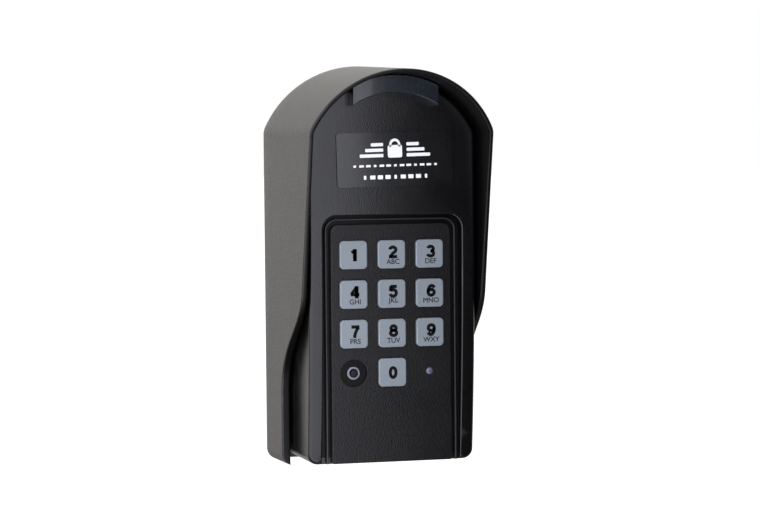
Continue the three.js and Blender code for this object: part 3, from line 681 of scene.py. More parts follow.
def moulded(name, colour, roughness, cells=1500.0, depth=0.02, tone=0.2, gloss=0.05, dust=0.1, edge_wear_and_highlight=0.4,
            worn_and_highlight=(0.05, 0.05, 0.052, 1), **constants):
    """Moulded plastic or rubber: grain, rubbed edges that also carry a painted highlight, and a little dust.
    """
    paint = Paint(name, **constants)
    grain = paint.group(GRAIN, Colour=colour, Cells_per_metre=cells, Tone_spread=tone, Roughness=roughness,
                        Gloss_spread=gloss)
    rubbed_and_highlighted = paint.group(WEAR_AND_EDGE_HIGHLIGHT, Colour=grain["Colour"], Worn_colour=worn_and_highlight, Roughness=grain["Roughness"],
                         Amount=edge_wear_and_highlight)
    dusty = paint.group(DUST, Colour=rubbed_and_highlighted["Colour"], Roughness=rubbed_and_highlighted["Roughness"], Amount=dust)
    return paint.use(dusty["Colour"], dusty["Roughness"], grain["Height"], depth)


def label_film():
    paint = Paint("label_film", Coat_Weight=0.4, Coat_Roughness=0.14)
    grain = paint.group(GRAIN, Colour=(0.0015, 0.0015, 0.002, 1), Cells_per_metre=300.0, Tone_spread=0.3,
                        Roughness=0.26, Gloss_spread=0.03)
    scratches = paint.group(SCRATCHES, Amount=0.05)
    colour = mix_colour(paint.nodes, paint.links, scratches["Mask"], grain["Colour"], (0.05, 0.05, 0.05, 1))
    roughness = math_node(paint.nodes, paint.links, "ADD", grain["Roughness"], scratches["Mask"])
    return paint.use(colour, roughness, grain["Height"], 0.004)


def smoked_lens():
    paint = Paint("smoked_lens", IOR=1.49, Coat_Weight=0.4, Coat_Roughness=0.05)
    grain = paint.group(GRAIN, Colour=(0.012, 0.016, 0.021, 1), Cells_per_metre=500.0, Tone_spread=0.25,
                        Roughness=0.2, Gloss_spread=0.03)
    scratches = paint.group(SCRATCHES, Amount=0.15)
    roughness = math_node(paint.nodes, paint.links, "ADD", grain["Roughness"], scratches["Mask"])
    return paint.use(grain["Colour"], roughness, grain["Height"], 0.003)


def brushed_steel():
    paint = Paint("screw_steel", Metallic=1.0, Anisotropic=0.4)
    grain = paint.group(GRAIN, Colour=(0.55, 0.56, 0.57, 1), Cells_per_metre=2600.0, Tone_spread=0.15,
                        Roughness=0.32, Gloss_spread=0.08)
    scratches = paint.group(SCRATCHES, Amount=0.2)
    roughness = math_node(paint.nodes, paint.links, "ADD", grain["Roughness"], scratches["Mask"])
    return paint.use(grain["Colour"], roughness, grain["Height"], 0.006)


def board_laminate():
    """Green laminate with a paler net of copper tracks under the lacquer."""
    paint = Paint("board_laminate", Coat_Weight=0.5, Coat_Roughness=0.15)
    grain = paint.group(GRAIN, Colour=(0.012, 0.1, 0.035, 1), Cells_per_metre=2500.0, Tone_spread=0.2,
                        Roughness=0.4, Gloss_spread=0.05)
    tracks = paint.nodes.new("ShaderNodeTexBrick")
    tracks.inputs["Scale"].default_value = 420
    tracks.inputs["Mortar Size"].default_value = 0.06
    turned = paint.nodes.new("ShaderNodeMapping")
    turned.inputs["Rotation"].default_value = (math.radians(90), 0, 0)
    paint.links.new(paint.position, turned.inputs["Vector"])
    paint.links.new(turned.outputs["Vector"], tracks.inputs["Vector"])
    track_green = (0.03, 0.22, 0.08, 1)
    colour = mix_colour(paint.nodes, paint.links, tracks.outputs["Fac"], grain["Colour"], track_green)
    return paint.use(colour, grain["Roughness"], tracks.outputs["Fac"], 0.03)


def battery_jacket():
    """A printed jacket: a dark band at the lower part of each cell, copper above it."""
    paint = Paint("battery_jacket", Metallic=0.7, Coat_Weight=0.6, Coat_Roughness=0.08)
    split = paint.nodes.new("ShaderNodeSeparateXYZ")
    paint.links.new(paint.position, split.inputs[0])
    band_end, blend = (CELL_Z + 6) * MM, 0.2 * MM
    band = map_range(paint.nodes, paint.links, split.outputs["Z"], band_end, band_end + blend, 0.0, 1.0)
    colour = mix_colour(paint.nodes, paint.links, band, (0.02, 0.02, 0.022, 1), (0.5, 0.22, 0.06, 1))
    grain = paint.group(GRAIN, Colour=colour, Cells_per_metre=700.0, Tone_spread=0.1, Roughness=0.28,
                        Gloss_spread=0.05)
    return paint.use(grain["Colour"], grain["Roughness"], grain["Height"], 0.004)


BLACK_SHELL = (0.002, 0.002, 0.0023, 1)
HOOD_PLASTIC = moulded("hood_plastic", (0.0036, 0.0033, 0.0028, 1), 0.33, cells=1150, depth=0.1, tone=0.3,
                       gloss=0.01, dust=0.04)
# A darker copy of the hood's plastic: painted shade for the hood's inside and rim.
HOOD_PAINTED_SHADE = moulded("hood_inside", (0.001, 0.001, 0.001, 1), 0.4, cells=1000, depth=0.03, dust=0.02,
                      Specular_IOR_Level=0.22)
CASE_PLASTIC = moulded("case_plastic", BLACK_SHELL, 0.24, cells=1350, depth=0.018, gloss=0.02, dust=0.03)
PANEL_PLASTIC = moulded("panel_plastic", (0.0045, 0.0045, 0.005, 1), 0.36, cells=1200, depth=0.05,
                        gloss=0.02, dust=0.03, Specular_IOR_Level=0.28)
# Near-black plastic: painted shade in the groove round the panel, and the darker floor of the button's
# pocket.
PAINTED_GROOVE_SHADE_AND_DARK_POCKET = moulded("painted_groove_shade_and_dark_pocket", (0.001, 0.001, 0.001, 1), 0.35, cells=900, depth=0.01, dust=0.01,
                         Specular_IOR_Level=0.15)
INNER_PLASTIC = moulded("inner_plastic", (0.012, 0.012, 0.0125, 1), 0.5, cells=900, depth=0.02, dust=0.08)
RUBBER = moulded("rubber", (0.006, 0.006, 0.006, 1), 0.45, cells=1400, depth=0.015, dust=0.04)
BUTTON_PLASTIC = moulded("button_plastic", (0.002, 0.002, 0.002, 1), 0.35, cells=1200, depth=0.01, dust=0.02,
                         Specular_IOR_Level=0.25)
KEY_PLASTIC = moulded("key_plastic", (0.185, 0.212, 0.232, 1), 0.42, cells=1900, depth=0.012, tone=0.05,
                      dust=0.12, edge_wear_and_highlight=0.3, worn_and_highlight=(0.5, 0.54, 0.6, 1))
COLLAR_PLASTIC = moulded("collar_plastic", (0.17, 0.2, 0.235, 1), 0.35, cells=1500, depth=0.01, tone=0.05,
                         dust=0.1, edge_wear_and_highlight=0.2, worn_and_highlight=(0.5, 0.54, 0.6, 1))
STATUS_LENS = moulded("status_lens", (0.08, 0.085, 0.13, 1), 0.4, cells=600, depth=0.01, tone=0.08, dust=0.05,
                      edge_wear_and_highlight=0.1, worn_and_highlight=(0.5, 0.5, 0.6, 1), Coat_Weight=0.5, Coat_Roughness=0.08)
CHIP_RESIN = moulded("chip_resin", (0.016, 0.016, 0.017, 1), 0.5, cells=3500, depth=0.01, dust=0.05)
WIRE_JACKET = moulded("wire_jacket", (0.28, 0.02, 0.015, 1), 0.4, cells=1500, depth=0.01, tone=0.1, dust=0.05,
                      edge_wear_and_highlight=0.2, worn_and_highlight=(0.4, 0.08, 0.06, 1))
INK = moulded("legend_ink", (0.003, 0.003, 0.0035, 1), 0.5, cells=2500, depth=0.004, dust=0.0, edge_wear_and_highlight=0.0,
             Specular_IOR_Level=0.1)
FINE_INK = moulded("fine_legend_ink", (0.01, 0.011, 0.013, 1), 0.5, cells=2500, depth=0.004, dust=0.0,
                   edge_wear_and_highlight=0.0, Specular_IOR_Level=0.2)
WHITE_INK = moulded("label_ink", (0.85, 0.85, 0.84, 1), 0.35, cells=1800, depth=0.004, tone=0.06, dust=0.05,
                    edge_wear_and_highlight=0.0)
LABEL_FILM, SMOKED_LENS, STEEL = label_film(), smoked_lens(), brushed_steel()
LAMINATE, JACKET = board_laminate(), battery_jacket()


# ---- Hood ------------------------------------------------------------------------------------------

def bezier(points, t):
    """A point on a cubic curve."""
    weights = ((1 - t) ** 3, 3 * t * (1 - t) ** 2, 3 * t * t * (1 - t), t ** 3)
    return tuple(sum(w * p[axis] for w, p in zip(weights, points)) for axis in (0, 1))


def hood_edge(z):
    """y of the hood's front edge: leaning, then an S-shaped sweep back, then straight down."""
    top, bottom, lower = HOOD["sweep_top"], HOOD["sweep_bottom"], HOOD["lower_edge"]
    if z >= top:
        return HOOD["front_at_origin"] - HOOD["lean"] * z
    if z <= bottom:
        return lower
    height = top - bottom
    pull = top - 0.35 * height
    curve = [
        (HOOD["front_at_origin"] - HOOD["lean"] * top, top),
        (HOOD["front_at_origin"] - HOOD["lean"] * pull, pull),
        (lower, bottom + 0.51 * height),
        (lower, bottom),
    ]
    low, high = 0.0, 1.0
    for _ in range(30):
        middle = (low + high) / 2
        low, high = (middle, high) if bezier(curve, middle)[1] > z else (low, middle)
    return bezier(curve, low)[0]


def hood_stations(half_width, radius, shoulder, corner_end, corner):
    """Half of the hood's outline at one depth, from the lower tip up to the top."""
    shoulder_x = half_width - shoulder
    shoulder_z = ARCH_Z + math.sqrt((radius - shoulder) ** 2 - shoulder_x ** 2)
    turn = math.degrees(math.atan2(shoulder_z - ARCH_Z, shoulder_x))
    low = HOOD["bottom"] + corner
    return (
        arc(half_width - corner, low, corner, -corner_end, 0, 10)
        + line((half_width, low), (half_width, shoulder_z), 90)
        + arc(shoulder_x, shoulder_z, shoulder, 0, turn, 10)[1:]
        + arc(0, ARCH_Z, radius, turn, 89.3, 44)[1:]
    )


def hood_outside(y):
    narrowing = HOOD["draft"] * y
    half_width, corner = HOOD["half_width"] + narrowing, HOOD["corner"]
    reach = HOOD["inner_half_width"] + HOOD["tip"] - (half_width - corner)
    corner_end = math.degrees(math.acos(reach / corner))
    return mirrored(hood_stations(
        half_width, HOOD["top_radius"] + narrowing, HOOD["shoulder"], corner_end, corner,
    ))


def hood_inside(y):
    """The inner wall, with its lower stations at the heights of the outside's."""
    outer = hood_outside(y)
    inner = mirrored(hood_stations(
        HOOD["inner_half_width"], HOOD["inner_radius"], HOOD["inner_shoulder"], 90, HOOD["corner"],
    ))
    count = len(inner)
    level = 11
    for i in [*range(level), *range(count - level, count)]:
        inner[i] = (math.copysign(HOOD["inner_half_width"], inner[i][0]), outer[i][1])
    return inner


def on_edge(outline_at, station):
    """The point where one station's line meets the front edge."""
    y = -60.0
    for _ in range(6):
        x, z = outline_at(y)[station]
        y = hood_edge(z)
    return Vector((x, y, z))


def rounded_corner(start, corner, end, steps=5):
    ts = [step / steps for step in range(steps + 1)]
    return [start * (1 - t) ** 2 + corner * (2 * t * (1 - t)) + end * t * t for t in ts]


def make_hood():
    """A lofted shell: each ring runs out along the outside, round the rim, and back along the inside."""
    levels = 7
    count = len(hood_outside(0.0))
    rings = []
    for station in range(count):
        outer, inner = on_edge(hood_outside, station), on_edge(hood_inside, station)
        across = inner - outer
        radius = min(HOOD["rim"], 0.42 * across.length)
        step = across.normalized() * radius
        back = HOOD["back"]

        def stretch(outline_at, end):
            depths = [back + (end - back) * level / levels for level in range(levels + 1)]
            return [Vector((outline_at(y)[station][0], y, outline_at(y)[station][1])) for y in depths]

        outside = stretch(hood_outside, outer.y + radius)
        inside = stretch(hood_inside, inner.y + radius)
        ring = (
            outside[:-1]
            + rounded_corner(outside[-1], outer, outer + step)
            + rounded_corner(inner - step, inner, inside[-1])
            + list(reversed(inside[:-1]))
        )
        rings.append([tuple(point) for point in ring])
    hood = solid_object("hood_shell", skin(rings, rungs=True))
    grooves = [
        block((side * (HOOD["inner_half_width"] - 1), side * (RAIL["reach"] + 0.4)),
              (RAIL["front"] - GAP, RAIL["tongue_back"] + GAP), (-FAR, RAIL["top"] + 0.6))
        for side in (-1, 1)
    ]
    boolean(hood, grooves, "DIFFERENCE")
    smoothed(hood)
    finish_piece(hood, HOOD_PLASTIC, "hood", ["hood"])
    # Painted shade: the inside and the rim take a darker, duller copy of the hood's plastic, standing in for
    # the shade inside the hood.
    hood.data.materials.append(HOOD_PAINTED_SHADE)
    least_outward = 0.3
    for face in hood.data.polygons:
        outward = Vector((face.center.x, 0, max(0, face.center.z - ARCH_Z * MM))).normalized()
        if face.normal.dot(outward) < least_outward and face.center.y < (HOOD["back"] - 1) * MM:
            face.material_index = 1


# ---- Wall plate ------------------------------------------------------------------------------------

def make_wall_plate():
    """The moulded plate that is screwed to the wall, with rails, hooks and a locking flange."""
    def outline_at(inset):
        return arch(PLATE["half_width"], PLATE["top_radius"], PLATE["bottom"], PLATE["corner"],
                    PLATE["shoulder"], inset)

    edge = PLATE["edge"]
    plate = solid_object("mounting_plate", puck(outline_at, -PLATE["thickness"], 0.0, edge, edge, rungs=True))
    in_plate = -PLATE["thickness"] / 2
    height = (RAIL["bottom"], RAIL["top"])
    added = []
    for side in (-1, 1):
        rail = (side * (PLATE["half_width"] - RAIL["width"]), side * (PLATE["half_width"] - 0.02))
        added.append(block(rail, (RAIL["front"], in_plate), height))
        added.append(block((side * (PLATE["half_width"] - 1), side * RAIL["reach"]),
                           (RAIL["front"] + 0.01, RAIL["tongue_back"]), height))

    def hook(x, z):
        across = (x - HOOK["width"] / 2, x + HOOK["width"] / 2)
        low, high = z - HOOK["stem"] / 2, z + HOOK["stem"] / 2
        return joined(
            block(across, (HOOK["lip_front"], in_plate), (low, high)),
            block(across, (HOOK["lip_front"], HOOK["lip_back"]), (high - 1, high + HOOK["lip"])),
        )

    added += at_corners(HOOK, hook)
    added.append(block((-LOCK["flange_half"], LOCK["flange_half"]), (LOCK["y"] - 4, in_plate),
                       (PLATE["bottom"] + 0.02, LOCK["flange_top"])))
    boolean(plate, added, "UNION")
    holes = at_corners(WALL_HOLES, lambda x, z: rod_y(WALL_HOLES["radius"], x, z, -FAR, FAR))
    holes += at_corners(WALL_HOLES, lambda x, z: lathe([
        (WALL_HOLES["radius"] + 2.0, -FAR), (WALL_HOLES["radius"] + 2.0, -PLATE["thickness"] - 0.01),
        (WALL_HOLES["radius"] - 0.2, -PLATE["thickness"] + 2.0),
    ], x, z))
    holes.append(lathe_z([(LOCK["head"] + GAP, -FAR), (LOCK["head"] + GAP, PLATE["bottom"] + 0.1),
                          (LOCK["radius"] + GAP, LOCK["flange_top"] - 0.6), (LOCK["radius"] + GAP, -90)],
                         0, LOCK["y"]))
    boolean(plate, holes, "DIFFERENCE")
    smoothed(plate, 32)
    finish_piece(plate, INNER_PLASTIC, "base", ["wall_plate"])


# ---- Case ------------------------------------------------------------------------------------------

def case_face(z):
    """y of the case's front: flat at the top, and curving slowly back lower down."""
    if z >= CASE["face_bend"]:
        return CASE["face"]
    radius = CASE["face_radius"]
    return CASE["face"] + radius - math.sqrt(radius ** 2 - (CASE["face_bend"] - z) ** 2)


def lamp_led_places():
    angles = [math.radians(90 + step * LAMP_LED["spread"]) for step in (-1, 0, 1)]
    return [(LAMP_LED["ring"] * math.cos(a), ARCH_Z + LAMP_LED["ring"] * math.sin(a)) for a in angles]


def make_front_case():
    """The weatherproof shell with its soft front edge, hollow behind, and the recess for the keypad."""
    wall, seam = CASE["wall"], CASE["seam"]
    blank = puck(case_arch, None, seam, CASE["edge"], rungs=True, front_y=case_face)
    case = solid_object("case_front", blank)
    inner = case_arch(wall)
    boolean(case, [skin([
        [(x, seam + 1, z) for x, z in inner],
        [(x, case_face(z) + wall, z) for x, z in inner],
    ], rungs=True)], "DIFFERENCE")
    tub_wall, floor = RECESS["tub_wall"], RECESS["floor"]
    tub = tablet(RECESS["half_width"] + tub_wall, RECESS["top"] + tub_wall, CASE["bottom"] + 0.6,
                 RECESS["corner"] + tub_wall)
    tub_solid = skin([
        [(x, floor + RECESS["floor_thickness"], z) for x, z in tub],
        [(x, min(case_face(z) + 1.0, floor), z) for x, z in tub],
    ], rungs=True)
    bosses = at_corners(CASE_SCREWS, lambda x, z: rod_y(
        CASE_SCREWS["boss"], x, z, CASE_SCREWS["front"] - 3, seam - 0.01))
    boolean(case, [tub_solid, *bosses], "UNION")

    def recess_at(inset):
        return tablet(RECESS["half_width"], RECESS["top"], -FAR + 15, RECESS["corner"], inset)

    boolean(case, [flared_hole(recess_at, case_face, floor, RECESS["edge"])], "DIFFERENCE")
    window = (-WINDOW["half_width"], WINDOW["half_width"])
    cuts = [block(window, (floor - 1, -50), (WINDOW["bottom"], WINDOW["top"]))]
    cuts += at_corners(CASE_SCREWS, lambda x, z: rod_y(
        CASE_SCREWS["radius"] + GAP, x, z, CASE_SCREWS["front"] - 1, seam + 1))
    cuts += [rod_y(LAMP_LED["radius"] + GAP, x, z, -FAR, -50, 24) for x, z in lamp_led_places()]
    boolean(case, cuts, "DIFFERENCE")
    smoothed(case, 34)
    finish_piece(case, CASE_PLASTIC, "base", ["front_case"])
    # Painted shade: the groove round the panel is black, its walls and floor given the near-black material
    # for the shade in the groove.
    case.data.materials.append(PAINTED_GROOVE_SHADE_AND_DARK_POCKET)
    for face in case.data.polygons:
        x, y, z = face.center / MM
        inside = abs(x) < RECESS["half_width"] + 0.02 and z < RECESS["top"] + 0.02
        if inside and case_face(z) + RECESS["edge"] < y < floor + 1:
            face.material_index = 1


def make_rear_case():
    """The back half of the shell, with hook slots, screw bosses and the battery opening."""
    rim, back, wall = CASE["seam"] + GAP, CASE["back"], CASE["wall"]
    floor_front = back - 2.2
    case = solid_object("case_rear", puck(case_arch, rim, back, 0.3, 1.2, rungs=True))
    boolean(case, [prism(case_arch(wall), rim - 1, floor_front, rungs=True)], "DIFFERENCE")
    added = at_corners(CASE_SCREWS, lambda x, z: rod_y(CASE_SCREWS["boss"], x, z, rim + 0.01, back - 0.5))
    added.append(block((-5, 5), (LOCK["y"] - 5, back - 0.5), (CASE["bottom"] + 1, LOCK["top"] + 2)))
    boolean(case, added, "UNION")
    low, high = CELL_Z - HOLDER["half_height"], CELL_Z + HOLDER["half_height"]
    cuts = [block((-HOLDER["half_width"], HOLDER["half_width"]), (floor_front - 1, 0), (low, high))]

    def slot(x, z):
        top = z + HOOK["stem"] / 2 + GAP
        half = HOOK["width"] / 2 + GAP
        bottom = top - HOOK["stem"] - HOOK["lip"] - 2 * GAP
        return block((x - half, x + half), (floor_front - 1, 0), (bottom, top))

    cuts += at_corners(HOOK, slot)
    cuts += at_corners(CASE_SCREWS, lambda x, z: rod_y(CASE_SCREWS["radius"] + GAP, x, z, rim - 1, 0))
    cuts += at_corners(CASE_SCREWS, lambda x, z: rod_y(CASE_SCREWS["head"] + GAP, x, z, back - 3.4, 0))
    lock_hole = LOCK["radius"] + GAP
    cuts.append(lathe_z([(lock_hole, -FAR), (lock_hole, LOCK["top"] + 0.5)], 0, LOCK["y"]))
    boolean(case, cuts, "DIFFERENCE")
    smoothed(case, 34)
    finish_piece(case, CASE_PLASTIC, "base", ["rear_case"])


# ---- Keypad panel ----------------------------------------------------------------------------------

def key_places():
    """(digit, x, z) of each key."""
    places = [
        (digit, ((digit - 1) % 3 - 1) * KEY["pitch"], KEYPAD_Z + (1 - (digit - 1) // 3) * KEY["pitch"])
        for digit in range(1, 10)
    ]
    return places + [(0, 0.0, LAST_ROW_Z)]


def make_keypad_panel():
    """The grained plate with ten key openings, a round pocket and the status lamp's hole."""
    front, back = PANEL["front"], PANEL["back"]

    def outline_at(inset):
        return tablet(PANEL["half_width"], PANEL["top"], PANEL["bottom"], PANEL["corner"], inset, 0.9)

    panel = solid_object("panel_plate", puck(outline_at, front, back, PANEL["edge"], rungs=True))
    boolean(panel, at_corners(BOARD_SCREWS, lambda x, z: rod_y(
        BOARD_SCREWS["boss"], x, z, back - 0.5, BOARD_SCREWS["board_back"] - 1.9)), "UNION")
    opening = KEY["size"] + 2 * KEY["clearance"]

    def level(_):
        return front

    cuts = [
        flared_hole(lambda inset, x=x, z=z: rounded_rectangle(
            x, z, opening, opening, KEY["corner"] + KEY["clearance"], inset), level, back + 1, 0.22)
        for _, x, z in key_places()
    ]
    cuts.append(flared_hole(lambda inset: circle(PROGRAM["x"], LAST_ROW_Z, PROGRAM["pocket"] - inset), level,
                            front + PROGRAM["pocket_depth"], 0.25))
    status_hole = STATUS["radius"] + 0.15
    cuts.append(flared_hole(lambda inset: circle(STATUS["x"], LAST_ROW_Z, status_hole - inset), level,
                            back + 1, 0.15))
    cuts += at_corners(BOARD_SCREWS, lambda x, z: rod_y(
        BOARD_SCREWS["radius"] + GAP, x, z, back - 0.2, -50, 24))
    boolean(panel, cuts, "DIFFERENCE")
    boolean(panel, [rod_y(PROGRAM["radius"] + GAP, PROGRAM["x"], LAST_ROW_Z, front, back + 1)], "DIFFERENCE")
    smoothed(panel, 34)
    finish_piece(panel, PANEL_PLASTIC, "base", ["keypad_panel"])
    # The button's pocket takes the near-black material, darker than the panel.
    panel.data.materials.append(PAINTED_GROOVE_SHADE_AND_DARK_POCKET)
    centre = Vector((PROGRAM["x"], 0, LAST_ROW_Z)) * MM
    for face in panel.data.polygons:
        away = (Vector((face.center.x, 0, face.center.z)) - centre).length
        if away < (PROGRAM["pocket"] + 0.02) * MM and face.center.y > (front + 0.12) * MM:
            face.material_index = 1


def path_tree():
    """Geometry nodes: a rounded rectangular section swept along a path of edges."""
    tree = bpy.data.node_groups.new("lip_along_path", "GeometryNodeTree")
    add = tree.interface.new_socket
    add("Path", in_out="INPUT", socket_type="NodeSocketGeometry")
    for label, value in (("Width", 0.0009), ("Depth", 0.002), ("Edge radius", 0.0003)):
        add(label, in_out="INPUT", socket_type="NodeSocketFloat").default_value = value
    add("Material", in_out="INPUT", socket_type="NodeSocketMaterial")
    add("Lip", in_out="OUTPUT", socket_type="NodeSocketGeometry")
    nodes, links = tree.nodes, tree.links
    given, out = nodes.new("NodeGroupInput").outputs, nodes.new("NodeGroupOutput").inputs
    path = nodes.new("GeometryNodeMeshToCurve")
    upright = nodes.new("GeometryNodeSetCurveNormal")
    upright.mode = "FREE"
    upright.inputs["Normal"].default_value = (0, -1, 0)
    section = nodes.new("GeometryNodeCurvePrimitiveQuadrilateral")
    rounded = nodes.new("GeometryNodeFilletCurve")
    rounded.mode = "POLY"
    rounded.inputs["Count"].default_value = 4
    sweep = nodes.new("GeometryNodeCurveToMesh")
    sweep.inputs["Fill Caps"].default_value = True
    smooth = nodes.new("GeometryNodeSetShadeSmooth")
    real = nodes.new("GeometryNodeRealizeInstances")
    paint = nodes.new("GeometryNodeSetMaterial")
    links.new(given["Path"], path.inputs["Mesh"])
    links.new(given["Depth"], section.inputs["Width"])
    links.new(given["Width"], section.inputs["Height"])
    links.new(section.outputs["Curve"], rounded.inputs["Curve"])
    links.new(given["Edge radius"], rounded.inputs["Radius"])
    links.new(path.outputs["Curve"], upright.inputs["Curve"])
    links.new(upright.outputs["Curve"], sweep.inputs["Curve"])
    links.new(rounded.outputs["Curve"], sweep.inputs["Profile Curve"])
    links.new(sweep.outputs["Mesh"], smooth.inputs["Geometry"])
    links.new(smooth.outputs["Geometry"], real.inputs["Geometry"])
    links.new(real.outputs["Geometry"], paint.inputs["Geometry"])
    links.new(given["Material"], paint.inputs["Material"])
    links.new(paint.outputs["Geometry"], out["Lip"])
    return tree


def grown(thing, tree, **values):
    """Runs a geometry node tree on an object with named inputs, and keeps the plain mesh."""
    modifier = thing.modifiers.new("grow", "NODES")
    modifier.node_group = tree
    identifiers = {item.name: item.identifier for item in tree.interface.items_tree if item.in_out == "INPUT"}
    for label, value in values.items():
        modifier[identifiers[label.replace("_", " ")]] = value
    thing.update_tag()
    return evaluated(thing)


def make_panel_seal(tree):
    """The lip that stands in the groove on both sides of the panel and over its top."""
    depth = RECESS["floor"] - GAP - SEAL["front"]
    middle = SEAL["front"] + depth / 2
    outline = tablet(SEAL["half_width"], SEAL["top"], PANEL["bottom"], SEAL["corner"])
    points = [Vector((x, middle, z)) * MM for x, z in outline[3:-3]]
    mesh = bpy.data.meshes.new("seal_path")
    mesh.from_pydata(points, [(i, i + 1) for i in range(len(points) - 1)], [])
    seal = grown(linked("panel_lip", mesh), tree, Width=SEAL["thickness"] * MM, Depth=depth * MM,
                 Edge_radius=0.3 * MM, Material=RUBBER)
    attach(seal, "base")
    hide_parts("panel_seal")


# ---- Keys and buttons ------------------------------------------------------------------------------

def lettering(text, height, x, y, z, material):
    """Printed characters in the middle of (x, z), standing a hair proud of the surface at y."""
    curve = bpy.data.curves.new("lettering", "FONT")
    curve.body = text
    curve.size = height / 0.73
    curve.extrude = 0.01
    curve.bevel_depth = 0.05
    curve.bevel_resolution = 0
    curve.resolution_u = 8
    thing = linked("lettering", curve)
    graph = bpy.context.evaluated_depsgraph_get()
    mesh = bpy.data.meshes.new_from_object(thing.evaluated_get(graph))
    discard(thing)
    shape = bmesh.new()
    shape.from_mesh(mesh)
    bmesh.ops.remove_doubles(shape, verts=shape.verts, dist=0.0005)
    bmesh.ops.recalc_face_normals(shape, faces=shape.faces)
    shape.to_mesh(mesh)
    shape.free()
    xs = [v.co.x for v in mesh.vertices]
    ys = [v.co.y for v in mesh.vertices]
    centre = Vector(((min(xs) + max(xs)) / 2, (min(ys) + max(ys)) / 2, 0))
    for vertex in mesh.vertices:
        at = vertex.co - centre
        vertex.co = Vector((x + at.x, y - at.z, z + at.y)) * MM
    mesh.materials.clear()
    mesh.materials.append(material)
    return linked("lettering", mesh)


def oval(x, z, half_width, half_height, start, end, steps=28):
    """Points round an oval, from one angle to another, in degrees."""
    angles = [math.radians(start + (end - start) * step / steps) for step in range(steps + 1)]
    return [(x + half_width * math.cos(a), z + half_height * math.sin(a)) for a in angles]


def round_stroke(x, z, half_width, half_height):
    """A closed oval stroke, which comes back to its first point."""
    return oval(x, z, half_width, half_height, 0, 360, 40)


def digit_strokes():
    """The middle lines of ten bold digits, 5.9 mm high, centred on the origin."""
    high, low, rail = 2.95, -2.95, 2.33

    def stem(*xs):
        """A thick upright, made of strokes side by side."""
        return [[(x, low), (x, high)] for x in xs]

    six = [round_stroke(0.05, -0.92, 1.5, 1.4), oval(0.3, -0.6, 1.78, 2.93, 186, 40)]
    return {
        0: [round_stroke(0, 0, 1.42, 2.33)],
        1: [*stem(0.3, 0.65), [(0.5, 2.35), (-0.1, 1.75), (-1.25, 1.3)]],
        2: [oval(0, 1.05, 1.5, 1.28, 172, -32) + [(-0.2, -0.9), (-1.25, -2.2)],
            [(-2.0, -rail), (2.1, -rail)]],
        3: [oval(-0.1, 1.17, 1.42, 1.16, 165, -90), oval(-0.1, -1.08, 1.6, 1.25, 90, -165)],
        4: [*stem(0.65, 0.95), [(-2.25, -1.15), (2.15, -1.15)], [(0.9, 2.6), (-1.85, -0.95)]],
        5: [[(-1.3, rail), (1.8, rail)], [(-1.1, 2.7), (-1.45, 0.1)],
            oval(-0.05, -0.78, 1.6, 1.55, 143, -162)],
        6: six,
        7: [[(-2.0, rail), (2.0, rail)], [(1.6, 2.1), (0.5, 0.6), (-0.2, -1.2), (-0.45, low)]],
        8: [round_stroke(0, 1.24, 1.28, 1.09), round_stroke(0, -1.07, 1.52, 1.26)],
        9: [[(-x, -z) for x, z in stroke] for stroke in six],
    }


def printed_digit(tree, digit, x, y, z):
    """A bold digit, each stroke a flat strip along its middle line."""
    points, edges = [], []
    for stroke in digit_strokes()[digit]:
        closed = (Vector(stroke[0]) - Vector(stroke[-1])).length < 1e-6
        if closed:
            stroke = stroke[:-1]
        first = len(points)
        points += [Vector((x + px, y, z + pz)) * MM for px, pz in stroke]
        edges += [(first + i, first + i + 1) for i in range(len(stroke) - 1)]
        if closed:
            edges.append((first + len(stroke) - 1, first))
    mesh = bpy.data.meshes.new("digit")
    mesh.from_pydata(points, edges, [])
    return grown(linked("digit", mesh), tree, Width=DIGIT["stroke"] * MM, Depth=DIGIT["depth"] * MM,
                 Edge_radius=0.005 * MM, Material=INK)


def key_solid(x, z):
    """A flanged key: square with round corners, a soft front edge and a very slight dish."""
    flange_front = PANEL["back"] + GAP

    def square(size, inset, y):
        return [(px, y, pz) for px, pz in rounded_rectangle(x, z, size, size, KEY["corner"], inset)]

    def flange(inset, y):
        return square(KEY["flange"], inset, y)

    def cap(inset, y):
        return square(KEY["size"], inset, y)

    rings = [flange(0, flange_front + KEY["flange_thickness"]), flange(0, flange_front), cap(0, flange_front)]
    edge_back = KEY["front"] + KEY["edge"]
    rings += [cap(inward, edge_back - forward) for inward, forward in quarter(KEY["edge"], 7)]
    rings += [cap(inset, KEY["front"] + dip) for inset, dip in ((1.2, 0.012), (2.4, 0.03), (4.0, 0.045))]
    return skin(rings)


def make_key(tree, digit, x, z):
    body = f"key_{digit}"
    cap = solid_object("cap", key_solid(x, z))
    smoothed(cap, 50)
    cap.data.materials.append(KEY_PLASTIC)
    letters = LETTERS.get(digit)
    proud = KEY["front"] + 0.03
    print_x = x + (0.55 if letters else 0.15)
    things = [cap, printed_digit(tree, digit, print_x, proud, z + (1.15 if letters else -0.05))]
    if letters:
        things.append(lettering(letters, 2.5, print_x, proud, z - 3.5, FINE_INK))
    key = joined_objects(f"keycap_{digit}", things)
    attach(key, body)
    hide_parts(body)


